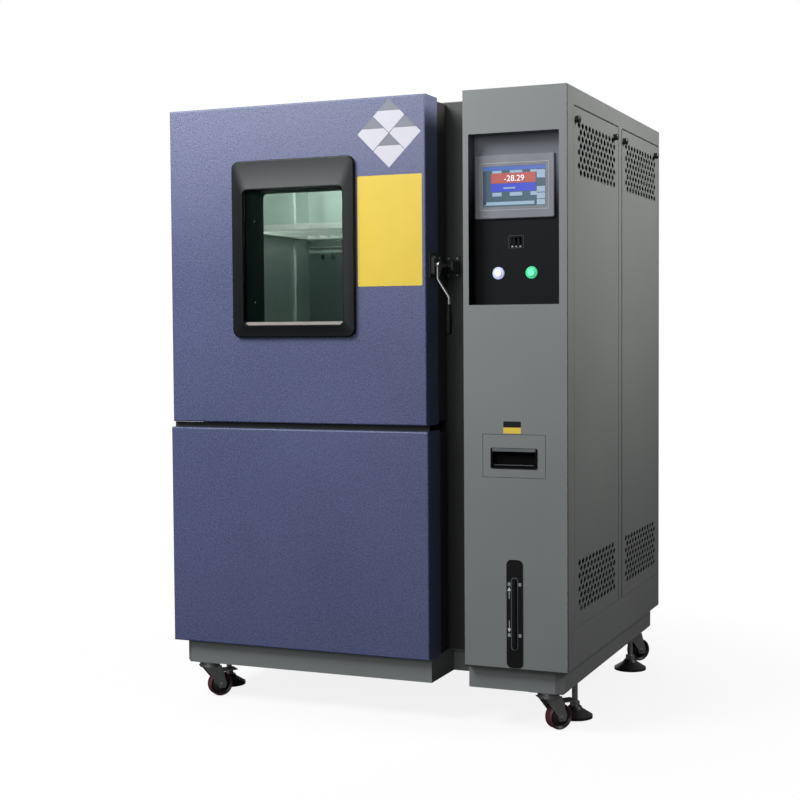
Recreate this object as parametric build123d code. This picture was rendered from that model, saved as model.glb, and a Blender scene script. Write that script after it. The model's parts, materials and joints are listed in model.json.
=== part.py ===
"""Environmental test chamber: an insulated chamber with a windowed door, and a control cabinet on its right.

Every length is in millimetres. Inside this file X is measured from the right face of the control cabinet,
Y from the front plane towards the rear and Z from the floor. The finished pieces are shifted so that the
origin lies on the floor, under the middle of the whole object.
"""
from build123d import *
import os

os.makedirs("parts", exist_ok=True)

# Overall sizes
total_height = 1556.0
total_depth = 960.0
chamber_width = 818.0
control_width = 260.0
body_bottom = 162.0
sheet = 2.0
seam = 1.0
seat_gap = 0.3

# Plinth under both sections
plinth_height = 60.0
plinth_wall = 3.0
plinth_front = 24.0
plinth_rear_inset = 30.0
plinth_side_inset = 18.0
plinth_left_inset = 12.0
plinth_corner = 20.0
corner_plate_width = 110.0
foot_plate_end = 40.0
side_return = 30.0
sheet_overlap = 1.0

# Door, its window and its hinges
door_width = 721.0
door_height = 811.0
door_thickness = 81.0
door_edge_radius = 4.0
gasket_thickness = 16.0
gasket_width = 30.0
gasket_inset = 22.0
gasket_corner = 12.0
gasket_groove = 4.0
gasket_groove_depth = 6.0
plug_depth = 29.0
plug_gap = 8.0
window_width = 345.0
window_height = 451.0
window_above_middle = 40.0
window_corner = 20.0
window_proud = 12.0
window_side_band = 32.0
window_top_band = 75.0
window_bottom_band = 31.0
window_inner_corner = 12.0
window_plateau = 7.0
window_rim = 3.0
window_rear_sink = 1.0
pane_gap = 0.2
pane_thickness = 5.0
pane_lap = 12.0
hinge_axis_out = 12.0
hinge_axis_back = 8.0
hinge_pin_radius = 4.0
hinge_knuckle_radius = 9.0
hinge_height = 96.0
hinge_leaf = 4.0
hinge_end_margin = 70.0
hinge_leaf_length = 58.0
hinge_reach = 60.0
hinge_end_gap = 1.0
running_fit = 0.05
cut_past = 1.0

# Chamber behind the door
inner_width = 500.0
inner_height = 600.0
inner_depth = 540.0
insulation_gap = 9.0
liner_sheet = 1.5
liner_flange = 15.0
surround_depth = 59.0
surround_inset = 6.0
mouth_margin = 20.0
baffle_to_rear = 100.0
hole_pitch = 34.0
hole_count = 13
outlet_radius = 7.0
outlet_height = 348.0
baffle_foot = 40.0
baffle_fold = 14.0
baffle_fold_height = 376.0
shelf_height = 400.0
shelf_frame = 16.0
shelf_side_gap = 9.0
shelf_depth = 380.0
shelf_front_gap = 24.0
shelf_rod = 5.0
shelf_rods = 12
shelf_bar = 12.0
shelf_rod_lap = 6.0
upright_width = 20.0
upright_depth = 6.0
upright_inset = 40.0
upright_end_gap = 20.0
ledge_width = 18.0
ledge_thickness = 3.0
ledge_lip = 2.0
ledge_lip_height = 12.0

# Coils behind the baffle
coil_above_floor = 60.0
coil_height = 200.0
coil_depth = 52.0
coil_side_gap = 30.0
fin_start = 16.0
fin_pitch = 29.0
fin_count = 14
fin_slot = 12.0
fin_slot_depth = 30.0
heater_radius = 5.0
heater_bend = 12.0
heater_above_floor = 300.0
heater_side_gap = 60.0
heater_before_coil = 18.0

# Circulation fan
fan_radius = 92.0
fan_hub_radius = 22.0
fan_blades = 6
fan_blade_thickness = 3.0
fan_width = 30.0
fan_shaft_radius = 6.0
fan_inlet_radius = 76.0
fan_below_ceiling = 110.0
fan_behind_baffle = 20.0
fan_blade_lap = 4.0
fan_blade_share = 0.9
fan_blade_tilt = 35.0
fan_shaft_gap = 4.0
fan_shaft_bush = 3.0
fan_shaft_end_gap = 4.0
motor_radius = 68.0
motor_length = 112.0
motor_chamfer = 14.0
motor_plate_half = 85.0
motor_plate = 6.0
motor_boss = 3.5

# Latch on the right side of the door
latch_height = 1140.0
latch_plate = 4.0
latch_body_depth = 44.0
latch_body_height = 50.0
latch_body_proud = 8.0
latch_body_corner = 6.0
latch_plate_margin = 6.0
latch_hub_radius = 13.0
latch_hub_width = 8.0
latch_pin_sink = 2.0
latch_pin_gap = 1.0
latch_nose_half = 5.0
latch_nose_rise = 6.0
latch_nose_gap = 2.0
latch_body_front = 24.0
lever_radius = 4.0
lever_reach = 46.0
lever_drop = 96.0
lever_straight = 34.0
lever_end = 16.0
lever_bend = 12.0
lever_forward = 9.0
lever_start = 4.0
grip_radius = 7.5
grip_length = 74.0
grip_neck = 0.62
grip_belly = 0.55
grip_tail = 0.9
grip_tip = 0.5
grip_tip_length = 3.0
keeper_roller_radius = 6.0
keeper_roller_gap = 4.0
keeper_past_latch = 20.0
keeper_half = 28.0
keeper_plate = 5.0
keeper_cheek_half = 14.0
latch_pivot_radius = 6.0

# Lower front cover of the machine compartment
lower_cover_height = 568.0
lower_cover_overhang = 6.0
lower_cover_right = 3.0
lower_cover_depth = 81.0
frame_wall = 22.0

# Control cabinet: front panel
recess_left = 14.0
recess_right = 19.0
recess_top = 106.0
recess_height = 410.0
recess_depth = 43.0
hmi_width = 202.0
hmi_height = 155.0
hmi_left = 17.0
hmi_top = 153.0
hmi_proud = 7.0
hmi_body = 42.0
hmi_rim = 9.0
screen_width = 158.0
screen_height = 97.0
screen_sink = 1.5
button_bezel_radius = 15.0
button_radius = 9.6
button_barrel_wall = 2.4
button_spacing = 84.0
button_pair_middle = 142.0
buttons_below_top = 439.0
button_bezel_proud = 4.0
button_proud = 7.0
button_travel = 3.0
button_chamfer = 1.2
button_seat = 8.0
button_barrel = 34.0
port_middle = 139.0
port_width = 30.0
port_height = 22.0
port_above_buttons = 75.0
port_slot_width = 6.0
port_slots = 3
recess_flange_left = 8.0
recess_flange = 10.0
hmi_corner = 5.0
hmi_chamfer = 2.0
hmi_body_gap = 0.5
screen_thickness = 2.0
button_bezel_chamfer = 1.5
drawer_width = 157.0
drawer_height = 103.0
drawer_top = 828.0
drawer_left = 49.0
drawer_depth = 190.0
drawer_bin_height = 66.0
drawer_bin_inset = 6.0
runner_lap = 10.0
runner_thickness = 2.2
runner_above_flap = 3.0
pull_width = 112.0
pull_height = 44.0
pull_depth = 22.0
pull_from_top = 35.0
pull_rim = 3.0
pull_rim_proud = 1.5
pull_corner = 4.0
pull_wall = 2.0
pull_lip_drop = 14.0
pull_lip_front = 0.35
pull_lip_rear = 0.5
gauge_width = 41.0
gauge_height = 262.0
gauge_left = 108.0
gauge_thickness = 2.0
gauge_corner = 12.0
gauge_above_bottom = 2.0
gauge_tube_radius = 6.5
gauge_tube_chamfer = 3.5
gauge_tube_height = 172.0

# Control cabinet: right side
column_width = 62.0
cover_width = 421.0
mullion_width = 39.0
side_frame_lap = 20.0
inner_return_gap = 28.0
cover_bottom = 255.0
top_rail = 41.0
top_slit = 4.0
rebate = 8.0
vent_pitch = 31.7
vent_row_pitch = 16.2
vent_columns = 11
vent_rows = 8
vent_hole_width = 21.0
vent_hole_height = 19.0
vent_hole_shoulder = 3.0
vent_top_margin = 40.0
vent_bottom_margin = 42.0
knob_radius = 8.5
knob_length = 12.0
knob_chamfer = 2.0
knob_shank_radius = 4.0
knob_below_top = 30.0
knob_front_margin = 14.0
knob_rear_margin = 46.0
knob_tongue_thickness = 2.0

# Casters and levelling feet
caster_radius = 32.0
caster_width = 32.0
caster_trail = 28.0
caster_heading = 48.0
caster_floor_gap = 1.0
caster_plate_length = 92.0
caster_plate_width = 62.0
caster_plate_thickness = 4.0
caster_plate_corner = 8.0
caster_pin_radius = 6.0
caster_pin_past = 2.0
caster_race_share = 0.55
caster_race_height = 12.0
caster_race_radius = 24.0
fork_thickness = 3.0
fork_gap = 2.0
fork_crown_lip = 3.0
fork_shoulder = 2.0
fork_neck = 6.0
fork_leg_front = 12.0
fork_leg_half = 9.0
fork_leg_rear = 14.0
fork_leg_rise = 4.0
fork_leg_rear_rise = 6.0
axle_past = 4.0
pedal_gap = 3.0
pedal_front = 26.0
pedal_overhang = 12.0
pedal_cheek = 6.0
wheel_hub_wall = 6.0
wheel_tread = 9.0
wheel_crown = 3.0
wheel_crown_drop = 1.0
wheel_web_share = 0.375
axle_radius = 5.0
foot_radius = 45.0
foot_rim = 7.0
foot_bell = 22.0
foot_bell_share = 0.45
foot_neck_share = 0.36
foot_bell_rise = 0.7
foot_stem_radius = 7.5
foot_nut = 13.0
foot_nut_height = 12.0
foot_travel = 20.0
foot_stem_clearance = 3.0
foot_from_side = 26.0
foot_front = 215.0
foot_from_rear = 170.0
caster_front = 68.0
caster_from_rear = 72.0
caster_from_side = 50.0

# Machine compartment
compressor_radius = 90.0
compressor_height = 270.0
compressor_dome = 40.0
compressor_from_left = 250.0
compressor_from_rear = 490.0
compressor_raise = 22.0
compressor_base_x = 105.0
compressor_base_y = 60.0
compressor_base_half = 2.0
compressor_feet_x = 90.0
compressor_feet_y = 48.0
compressor_foot_radius = 11.0
condenser_width = 440.0
condenser_height = 340.0
condenser_depth = 66.0
condenser_above_bottom = 40.0
condenser_drop = 10.0
condenser_rear_gap = 24.0
condenser_ring_radius = 70.0
condenser_ring_depth = 20.0
condenser_foot_inset = 20.0
condenser_foot_half = 15.0
louvre_count = 12
louvre_pitch = 28.0
louvre_length = 180.0
louvre_height = 7.0
louvre_start = 20.0
louvre_spread = 0.6

# Electrical plate in the control cabinet
mount_front = 300.0
mount_rear_gap = 100.0
mount_top_gap = 136.0
mount_height = 660.0
mount_standoff = 14.0
mount_plate = 2.0
mount_stud_inset = 20.0
mount_stud_radius = 6.0
rail_rows = 3
rail_below_top = 120.0
rail_pitch = 180.0
rail_inset = 30.0
rail_half = 17.0
rail_depth = 7.0
unit_count = 5
unit_start = 45.0
unit_pitch = 98.0
unit_width = 72.0
unit_half = 42.0
unit_depth = 70.0

# Places worked out from the sizes above
front = 0.0
rear = total_depth
left = -(chamber_width + control_width)
control_left = -control_width
door_left = left
door_right = left + door_width
door_bottom = total_height - door_height
door_middle_x = (door_left + door_right) / 2
door_middle_z = (door_bottom + total_height) / 2
surround_front = door_thickness + gasket_thickness
body_front = surround_front + surround_depth
lower_left = left - lower_cover_overhang
lower_right = door_right + lower_cover_right
plinth_bottom = body_bottom - plinth_height
hinge_x = door_left - hinge_axis_out
hinge_y = door_thickness + hinge_axis_back
overall_left = hinge_x - hinge_knuckle_radius
overall_right = knob_length
button_height = total_height - buttons_below_top
foot_rear = total_depth - foot_from_rear
caster_rear = total_depth - caster_from_rear
cavity_half = inner_width / 2 + liner_sheet
wall_insulation = door_middle_x - cavity_half - (left + sheet + insulation_gap)
origin_x = -(overall_left + overall_right) / 2
origin_y = -(total_depth - window_proud) / 2

pieces = {}


def block(x0, x1, y0, y1, z0, z1):
    """A rectangular solid between two opposite corners."""
    centre = Pos((x0 + x1) / 2, (y0 + y1) / 2, (z0 + z1) / 2)
    return centre * Box(x1 - x0, y1 - y0, z1 - z0)


def rounded_plate(x0, x1, z0, z1, y0, y1, radius):
    """An upright plate with rounded corners, from depth y0 back to y1."""
    outline = RectangleRounded(x1 - x0, z1 - z0, radius)
    plane = Plane(origin=((x0 + x1) / 2, y0, (z0 + z1) / 2), x_dir=(1, 0, 0), z_dir=(0, 1, 0))
    return extrude(plane * outline, y1 - y0)


def rod_x(x0, x1, y, z, radius):
    """A round bar along X."""
    return Pos((x0 + x1) / 2, y, z) * Rot(0, 90, 0) * Cylinder(radius, x1 - x0)


def rod_y(y0, y1, x, z, radius):
    """A round bar along Y."""
    return Pos(x, (y0 + y1) / 2, z) * Rot(90, 0, 0) * Cylinder(radius, y1 - y0)


def rod_z(z0, z1, x, y, radius):
    """A round bar along Z."""
    return Pos(x, y, (z0 + z1) / 2) * Cylinder(radius, z1 - z0)


def outline_xy(points, z0, z1):
    """A flat outline on the floor plan, carried from height z0 to z1."""
    face = make_face(Polyline(*points, close=True))
    return Pos(0, 0, z0) * extrude(face, z1 - z0)


def body_outline(inset):
    """The plan of the body: the chamber section, set back, and the control cabinet on its right."""
    return [
        (left + inset, body_front + inset), (control_left + inset, body_front + inset),
        (control_left + inset, front + inset), (-inset, front + inset),
        (-inset, rear - inset), (left + inset, rear - inset),
    ]


def plinth_outline(inset):
    """The plan of the plinth: a notch behind the door gap and chamfered outer corners."""
    x_left = left + plinth_left_inset + inset
    x_right = -plinth_side_inset - inset
    y_front = plinth_front + inset
    y_rear = rear - plinth_rear_inset - inset
    notch_left = door_right - inset
    notch_right = control_left + inset + sheet
    notch_rear = body_front + plinth_front + inset
    cut = plinth_corner - inset / 2
    return [
        (x_left + cut, y_front), (notch_left, y_front), (notch_left, notch_rear),
        (notch_right, notch_rear), (notch_right, y_front), (x_right - cut, y_front),
        (x_right, y_front + cut), (x_right, y_rear), (x_left, y_rear), (x_left, y_front + cut),
    ]


# Plinth: a folded tray with a deck on top and an inner flange for the casters and feet
plinth_left = left + plinth_left_inset
plinth_right = -plinth_side_inset
plinth_rear = rear - plinth_rear_inset
foot_x = {"left": plinth_left + foot_from_side, "right": plinth_right - foot_from_side}
foot_y = {"front": foot_front, "rear": foot_rear}
caster_x = {"left": plinth_left + caster_from_side, "right": plinth_right - caster_from_side}
caster_y = {"front": caster_front, "rear": caster_rear}
corners = [(depthwise, side) for depthwise in ("front", "rear") for side in ("left", "right")]

tray = outline_xy(plinth_outline(0), plinth_bottom, body_bottom)
tray -= outline_xy(plinth_outline(plinth_wall), plinth_bottom - cut_past, body_bottom - plinth_wall)
plate_length = {"front": foot_front + foot_plate_end, "rear": foot_rear - foot_plate_end}
for depthwise, side in corners:
    inner_x = plinth_left + corner_plate_width if side == "left" else plinth_right - corner_plate_width
    outer_x = plinth_left + plinth_corner if side == "left" else plinth_right - plinth_corner
    end_y = plinth_front + plinth_corner if depthwise == "front" else plinth_rear - plinth_wall
    low_x, high_x = sorted((inner_x, outer_x))
    low_y, high_y = sorted((plate_length[depthwise], end_y))
    corner_plate = block(low_x, high_x, low_y, high_y, plinth_bottom, plinth_bottom + plinth_wall)
    edge_x = plinth_left + plinth_wall if side == "left" else plinth_right - plinth_wall
    low_x, high_x = sorted((edge_x, outer_x))
    low_y, high_y = sorted((plate_length[depthwise], end_y))
    corner_plate += block(low_x, high_x, low_y, high_y, plinth_bottom, plinth_bottom + plinth_wall)
    if depthwise == "front":
        low_x, high_x = sorted((inner_x, outer_x))
        corner_plate += block(low_x, high_x, plinth_front + plinth_wall, end_y, plinth_bottom,
                              plinth_bottom + plinth_wall)
    tray += corner_plate
tray += outline_xy(body_outline(seam), body_bottom - sheet, body_bottom)
for depthwise, side in corners:
    tray -= rod_z(plinth_bottom - cut_past, plinth_bottom + plinth_wall + cut_past, foot_x[side],
                  foot_y[depthwise],
                  foot_stem_radius + running_fit)
pieces["base_frame"] = tray

# Outer sheets of the chamber section
left_profile = [
    (left, body_front), (left + side_return, body_front), (left + side_return, body_front + sheet),
    (left + sheet, body_front + sheet), (left + sheet, rear - 2 * sheet),
    (left + side_return, rear - 2 * sheet),
    (left + side_return, rear - sheet), (left, rear - sheet),
]
pieces["left_side_panel"] = outline_xy(left_profile, body_bottom, total_height - sheet)

bulkhead = block(left + side_return, control_left, body_front, body_front + sheet, body_bottom,
                 total_height - sheet)
mouth_low = door_middle_z - inner_height / 2 - liner_sheet
mouth_high = door_middle_z + inner_height / 2 + liner_sheet
bulkhead -= block(door_middle_x - cavity_half, door_middle_x + cavity_half, body_front - cut_past,
                  body_front + sheet + cut_past, mouth_low, mouth_high)
pieces["front_bulkhead"] = bulkhead

top = outline_xy(body_outline(0), total_height - sheet, total_height)
top -= block(control_left - cut_past, cut_past, front - cut_past, front + sheet,
             total_height - sheet - cut_past, total_height + cut_past)
pieces["top_cover"] = top

rear_plate = block(left, 0, rear - sheet, rear, body_bottom, total_height - sheet)
condenser_x = (left + control_left) / 2
condenser_z = body_bottom + condenser_above_bottom
louvre_slot = Plane.XZ * Rectangle(louvre_length, louvre_height)
for column in (-1, 1):
    for row in range(louvre_count):
        place = Pos(condenser_x + column * louvre_length * louvre_spread, rear + cut_past,
                    condenser_z + louvre_start + row * louvre_pitch)
        rear_plate -= place * extrude(louvre_slot, sheet + 2 * cut_past)
pieces["rear_panel"] = rear_plate

# Black frames between the blue panels and the body: door surround above, cover frame below
surround_left = door_left + surround_inset
surround_right = door_right - surround_inset
opening_half = inner_width / 2 + mouth_margin
opening_low = door_middle_z - inner_height / 2 - mouth_margin
opening_high = door_middle_z + inner_height / 2 + mouth_margin
surround = block(surround_left, surround_right, surround_front, body_front,
                 door_bottom + surround_inset, total_height - surround_inset)
surround -= block(door_middle_x - opening_half, door_middle_x + opening_half, surround_front - cut_past,
                  body_front + cut_past, opening_low, opening_high)
lower_top = body_bottom + lower_cover_height
lower_frame = block(surround_left, surround_right, lower_cover_depth, body_front,
                    body_bottom + surround_inset, lower_top - surround_inset)
lower_frame -= block(surround_left + frame_wall, surround_right - frame_wall, lower_cover_depth - cut_past,
                     body_front + cut_past, body_bottom + surround_inset + frame_wall,
                     lower_top - surround_inset - frame_wall)
pieces["black_front_frames"] = Compound([surround, lower_frame])

# Lower front cover: a deep folded pan, open at the back
lower_cover = block(lower_left, lower_right, front, lower_cover_depth, body_bottom, lower_top)
lower_cover = fillet(lower_cover.edges().group_by(Axis.Y)[0], door_edge_radius)
lower_cover -= block(lower_left + sheet, lower_right - sheet, front + sheet, lower_cover_depth + cut_past,
                     body_bottom + sheet, lower_top - sheet)
pieces["lower_front_cover"] = lower_cover

# Door: folded skin, insulated core with a stepped plug, gasket, window frame and two panes
window_left = door_middle_x - window_width / 2
window_right = door_middle_x + window_width / 2
window_low = door_middle_z + window_above_middle - window_height / 2
window_high = window_low + window_height
glass_left = window_left + window_side_band
glass_right = window_right - window_side_band
glass_low = window_low + window_bottom_band
glass_high = window_high - window_top_band
pane_size = (glass_left - pane_lap, glass_right + pane_lap, glass_low - pane_lap, glass_high + pane_lap)

skin = block(door_left, door_right, front, door_thickness, door_bottom, total_height)
skin = fillet(skin.edges().group_by(Axis.Y)[0], door_edge_radius)
skin -= block(door_left + sheet, door_right - sheet, front + sheet, door_thickness + cut_past,
              door_bottom + sheet, total_height - sheet)
skin -= rounded_plate(*pane_size, front - cut_past, front + sheet + cut_past, window_inner_corner)
pieces["door_skin"] = skin

plug_half = opening_half - plug_gap
core = block(door_left + sheet, door_right - sheet, front + sheet, door_thickness,
             door_bottom + sheet, total_height - sheet)
plug_rear = door_thickness + plug_depth
plug = block(door_middle_x - plug_half, door_middle_x + plug_half, door_thickness, plug_rear,
             opening_low + plug_gap, opening_high - plug_gap)
plug = chamfer(plug.edges().group_by(Axis.Y)[-1], plug_gap / 2)
core += plug
core -= rounded_plate(glass_left, glass_right, glass_low, glass_high, front, plug_rear + cut_past,
                      window_inner_corner)
core -= rounded_plate(*pane_size, front, front + pane_thickness, window_inner_corner)
rear_pane_front = plug_rear - pane_thickness - window_rear_sink
core -= rounded_plate(*pane_size, rear_pane_front, plug_rear + cut_past, window_inner_corner)
pieces["door_core"] = core

pane_box = (pane_size[0] + pane_gap, pane_size[1] - pane_gap, pane_size[2] + pane_gap,
            pane_size[3] - pane_gap)
front_pane = rounded_plate(*pane_box, front, front + pane_thickness, window_inner_corner)
back_pane = rounded_plate(*pane_box, rear_pane_front, rear_pane_front + pane_thickness, window_inner_corner)
pieces["window_panes"] = Compound([front_pane, back_pane])

back_outline = RectangleRounded(window_width, window_height, window_corner)
front_outline = RectangleRounded(
    glass_right - glass_left + 2 * window_plateau, glass_high - glass_low + 2 * window_plateau,
    window_inner_corner + window_plateau,
)
back_plane = Plane(origin=(door_middle_x, front - window_rim, (window_low + window_high) / 2),
                   x_dir=(1, 0, 0), z_dir=(0, -1, 0))
front_plane = Plane(origin=(door_middle_x, front - window_proud, (glass_low + glass_high) / 2),
                    x_dir=(1, 0, 0), z_dir=(0, -1, 0))
window_frame = rounded_plate(window_left, window_right, window_low, window_high, front - window_rim, front,
                             window_corner)
window_frame += loft([back_plane * back_outline, front_plane * front_outline])
window_frame -= rounded_plate(glass_left, glass_right, glass_low, glass_high,
                              front - window_proud - cut_past,
                              front + cut_past, window_inner_corner)
pieces["window_frame"] = window_frame

gasket_rear = surround_front - seat_gap
gasket = block(door_left + gasket_inset, door_right - gasket_inset, door_thickness, gasket_rear,
               door_bottom + gasket_inset, total_height - gasket_inset)
gasket = fillet(gasket.edges().filter_by(Axis.Y), gasket_corner)
gasket -= block(door_left + gasket_inset + gasket_width, door_right - gasket_inset - gasket_width,
                door_thickness - cut_past, gasket_rear + cut_past, door_bottom + gasket_inset + gasket_width,
                total_height - gasket_inset - gasket_width)
groove_y = (door_thickness + gasket_rear) / 2
groove_inset = gasket_inset + gasket_groove_depth
groove = block(door_left, door_right, groove_y - gasket_groove / 2, groove_y + gasket_groove / 2,
               door_bottom,
               total_height)
groove -= block(door_left + groove_inset, door_right - groove_inset, groove_y - gasket_groove,
                groove_y + gasket_groove, door_bottom + groove_inset, total_height - groove_inset)
pieces["door_gasket"] = gasket - groove


def hinge(z_middle):
    """One butt hinge on the left side: the body leaf with its pin, and the door leaf."""
    third = hinge_height / 3
    z0 = z_middle - hinge_height / 2
    pin = rod_z(z0, z0 + hinge_height, hinge_x, hinge_y, hinge_pin_radius)
    barrel = rod_z(z0, z0 + hinge_height, hinge_x, hinge_y, hinge_knuckle_radius)
    middle_zone = block(hinge_x - hinge_reach, hinge_x + hinge_reach, hinge_y - hinge_reach,
                        hinge_y + hinge_reach,
                        z0 + third, z0 + 2 * third)
    leaf_front = hinge_y + hinge_knuckle_radius + hinge_end_gap
    body_leaf = block(left - hinge_leaf, left, leaf_front, body_front + hinge_leaf_length / 2,
                      z0, z0 + hinge_height)
    body_arm = block(hinge_x, left, hinge_y, hinge_y + hinge_knuckle_radius, z0, z0 + hinge_height)
    body_arm += block(left - hinge_leaf, left, hinge_y, leaf_front, z0, z0 + hinge_height)
    body_side = barrel + body_arm - middle_zone
    body_side = body_side + pin + body_leaf
    door_zone = block(hinge_x - hinge_reach, hinge_x + hinge_reach, hinge_y - hinge_reach,
                      hinge_y + hinge_reach,
                      z0 + third + seat_gap, z0 + 2 * third - seat_gap)
    door_arm = block(hinge_x, left, hinge_y - hinge_knuckle_radius, hinge_y, z0, z0 + hinge_height)
    door_arm &= door_zone
    door_leaf = block(left - hinge_leaf, left, door_thickness - hinge_leaf_length,
                      door_thickness - hinge_end_gap,
                      z0, z0 + hinge_height)
    door_side = (barrel & door_zone) + door_arm + door_leaf
    door_side -= rod_z(z0 - cut_past, z0 + hinge_height + cut_past, hinge_x, hinge_y,
                       hinge_pin_radius + running_fit)
    return body_side, door_side


hinge_heights = (door_bottom + hinge_end_margin + hinge_height / 2,
                 total_height - hinge_end_margin - hinge_height / 2)
hinge_pairs = [hinge(z) for z in hinge_heights]
pieces["hinge_body_leaves"] = Compound([pair[0] for pair in hinge_pairs])
pieces["hinge_door_leaves"] = Compound([pair[1] for pair in hinge_pairs])

# Latch: a body on the right side of the door, a cranked lever with a grip, and a keeper on the surround
pivot_y = latch_body_front + latch_body_depth / 2
pivot_z = latch_height
plate_right = door_right + latch_plate
latch_right = plate_right + latch_body_proud
latch_rear = latch_body_front + latch_body_depth
latch_half = latch_body_height / 2
latch_base = block(door_right, plate_right, latch_body_front - latch_plate_margin,
                   latch_rear + latch_plate_margin,
                   latch_height - latch_half - latch_plate_margin,
                   latch_height + latch_half + latch_plate_margin)
latch_block = block(plate_right, latch_right, latch_body_front, latch_rear, latch_height - latch_half,
                    latch_height + latch_half)
latch_block = fillet(latch_block.edges().filter_by(Axis.X), latch_body_corner)
latch_base += latch_block
latch_base -= rod_x(plate_right + latch_pin_sink, latch_right + cut_past, pivot_y, pivot_z,
                    latch_pivot_radius + running_fit)
pieces["latch_base"] = latch_base

hub_left = latch_right + seat_gap
hub_right = hub_left + latch_hub_width
lever_x0 = (hub_left + hub_right) / 2
lever_x1 = door_right + lever_reach
hub = rod_x(hub_left, hub_right, pivot_y, pivot_z, latch_hub_radius)
hub += rod_x(plate_right + latch_pin_sink + latch_pin_gap, hub_left + sheet_overlap, pivot_y, pivot_z,
             latch_pivot_radius)
lever_y = pivot_y - lever_forward
lever_path = FilletPolyline(
    (lever_x0, lever_y, pivot_z - lever_start), (lever_x0, lever_y, pivot_z - lever_straight),
    (lever_x1, lever_y, pivot_z - lever_drop + lever_end), (lever_x1, lever_y, pivot_z - lever_drop),
    radius=lever_bend,
)
lever_bar = sweep(Plane(origin=lever_path @ 0, z_dir=lever_path % 0) * Circle(lever_radius), lever_path)
cam_nose = block(hub_left, hub_right, pivot_y + latch_nose_rise, surround_front - latch_nose_gap,
                 pivot_z - latch_nose_half, pivot_z + latch_nose_half)
pieces["latch_lever"] = hub + lever_bar + cam_nose
grip_top = pivot_z - lever_drop
grip_profile = make_face(Polyline(
    (0, 0), (grip_radius * grip_neck, 0), (grip_radius, -grip_length * grip_belly),
    (grip_radius * grip_tail, grip_tip_length - grip_length), (grip_radius * grip_tip, -grip_length),
    (0, -grip_length), close=True))
grip = revolve(Plane.XZ * grip_profile, Axis.Z)
pieces["latch_grip"] = Pos(lever_x1, lever_y, grip_top) * grip

roller_y = surround_front + keeper_roller_radius + keeper_roller_gap
keeper_x1 = latch_right + keeper_past_latch
keeper = block(surround_right, keeper_x1, body_front - keeper_plate, body_front, latch_height - keeper_half,
               latch_height + keeper_half)
for cheek in (surround_right, keeper_x1 - keeper_plate):
    arm = block(cheek, cheek + keeper_plate, roller_y - keeper_roller_radius, body_front,
                latch_height - keeper_cheek_half, latch_height + keeper_cheek_half)
    keeper += fillet(arm.edges().group_by(Axis.Y)[0].filter_by(Axis.X), keeper_plate)
keeper += rod_x(surround_right + sheet_overlap, keeper_x1 - sheet_overlap, roller_y, latch_height,
                keeper_roller_radius)
pieces["latch_keeper"] = keeper

# Chamber: insulation, stainless liner, baffle, coils, fan, uprights and shelf
liner_rear = body_front + inner_depth
insulation_rear = liner_rear + liner_sheet + wall_insulation
insulation = block(door_middle_x - cavity_half - wall_insulation,
                   door_middle_x + cavity_half + wall_insulation,
                   body_front + sheet, insulation_rear, mouth_low - wall_insulation,
                   mouth_high + wall_insulation)
insulation -= block(door_middle_x - cavity_half, door_middle_x + cavity_half, body_front,
                    liner_rear + liner_sheet, mouth_low, mouth_high)
fan_z = door_middle_z + inner_height / 2 - fan_below_ceiling
shaft_hole = fan_shaft_radius + fan_shaft_gap
insulation -= rod_y(liner_rear, insulation_rear + cut_past, door_middle_x, fan_z, shaft_hole)
pieces["insulation"] = insulation

inner_left = door_middle_x - inner_width / 2
inner_right = door_middle_x + inner_width / 2
inner_low = door_middle_z - inner_height / 2
inner_high = door_middle_z + inner_height / 2
liner_front = body_front - liner_sheet
liner = block(door_middle_x - cavity_half, door_middle_x + cavity_half, liner_front,
              liner_rear + liner_sheet,
              mouth_low, mouth_high)
liner += block(door_middle_x - cavity_half - liner_flange, door_middle_x + cavity_half + liner_flange,
               liner_front, body_front, mouth_low - liner_flange, mouth_high + liner_flange)
liner -= block(inner_left, inner_right, liner_front - cut_past, liner_rear, inner_low, inner_high)
liner -= rod_y(liner_rear - cut_past, liner_rear + liner_sheet + cut_past, door_middle_x, fan_z, shaft_hole)
pieces["chamber_liner"] = liner

baffle_y = liner_rear - baffle_to_rear
baffle_low = inner_low + baffle_foot
fold_low = inner_low + baffle_fold_height
baffle = block(inner_left, inner_right, baffle_y, baffle_y + liner_sheet, baffle_low, inner_high)
baffle += block(inner_left, inner_right, baffle_y - baffle_fold, baffle_y, fold_low, fold_low + sheet)
baffle -= rod_y(baffle_y - cut_past, baffle_y + liner_sheet + cut_past, door_middle_x, fan_z,
                fan_inlet_radius)
for index in range(hole_count):
    hole_x = door_middle_x + (index - (hole_count - 1) / 2) * hole_pitch
    plane = Plane(origin=(hole_x, baffle_y - cut_past, inner_low + outlet_height), x_dir=(1, 0, 0),
                  z_dir=(0, 1, 0))
    baffle -= extrude(plane * RegularPolygon(outlet_radius, 6), liner_sheet + 2 * cut_past)
pieces["air_baffle"] = baffle

coil_low = inner_low + coil_above_floor
coil_high = coil_low + coil_height
coil_y0 = liner_rear - coil_depth
evaporator = block(inner_left + coil_side_gap, inner_right - coil_side_gap, coil_y0, liner_rear, coil_low,
                   coil_high)
for index in range(fin_count):
    fin_x = inner_left + coil_side_gap + fin_start + index * fin_pitch
    evaporator -= block(fin_x, fin_x + fin_slot, coil_y0 - cut_past, coil_y0 + fin_slot_depth,
                        coil_low - cut_past, coil_high + cut_past)
heater_z = inner_low + heater_above_floor
heater_y = coil_y0 - heater_before_coil
heater_path = FilletPolyline(
    (inner_left + heater_side_gap, liner_rear, heater_z), (inner_left + heater_side_gap, heater_y, heater_z),
    (inner_right - heater_side_gap, heater_y, heater_z),
    (inner_right - heater_side_gap, liner_rear, heater_z),
    radius=heater_bend,
)
heater = sweep(Plane(origin=heater_path @ 0, z_dir=heater_path % 0) * Circle(heater_radius), heater_path)
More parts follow.
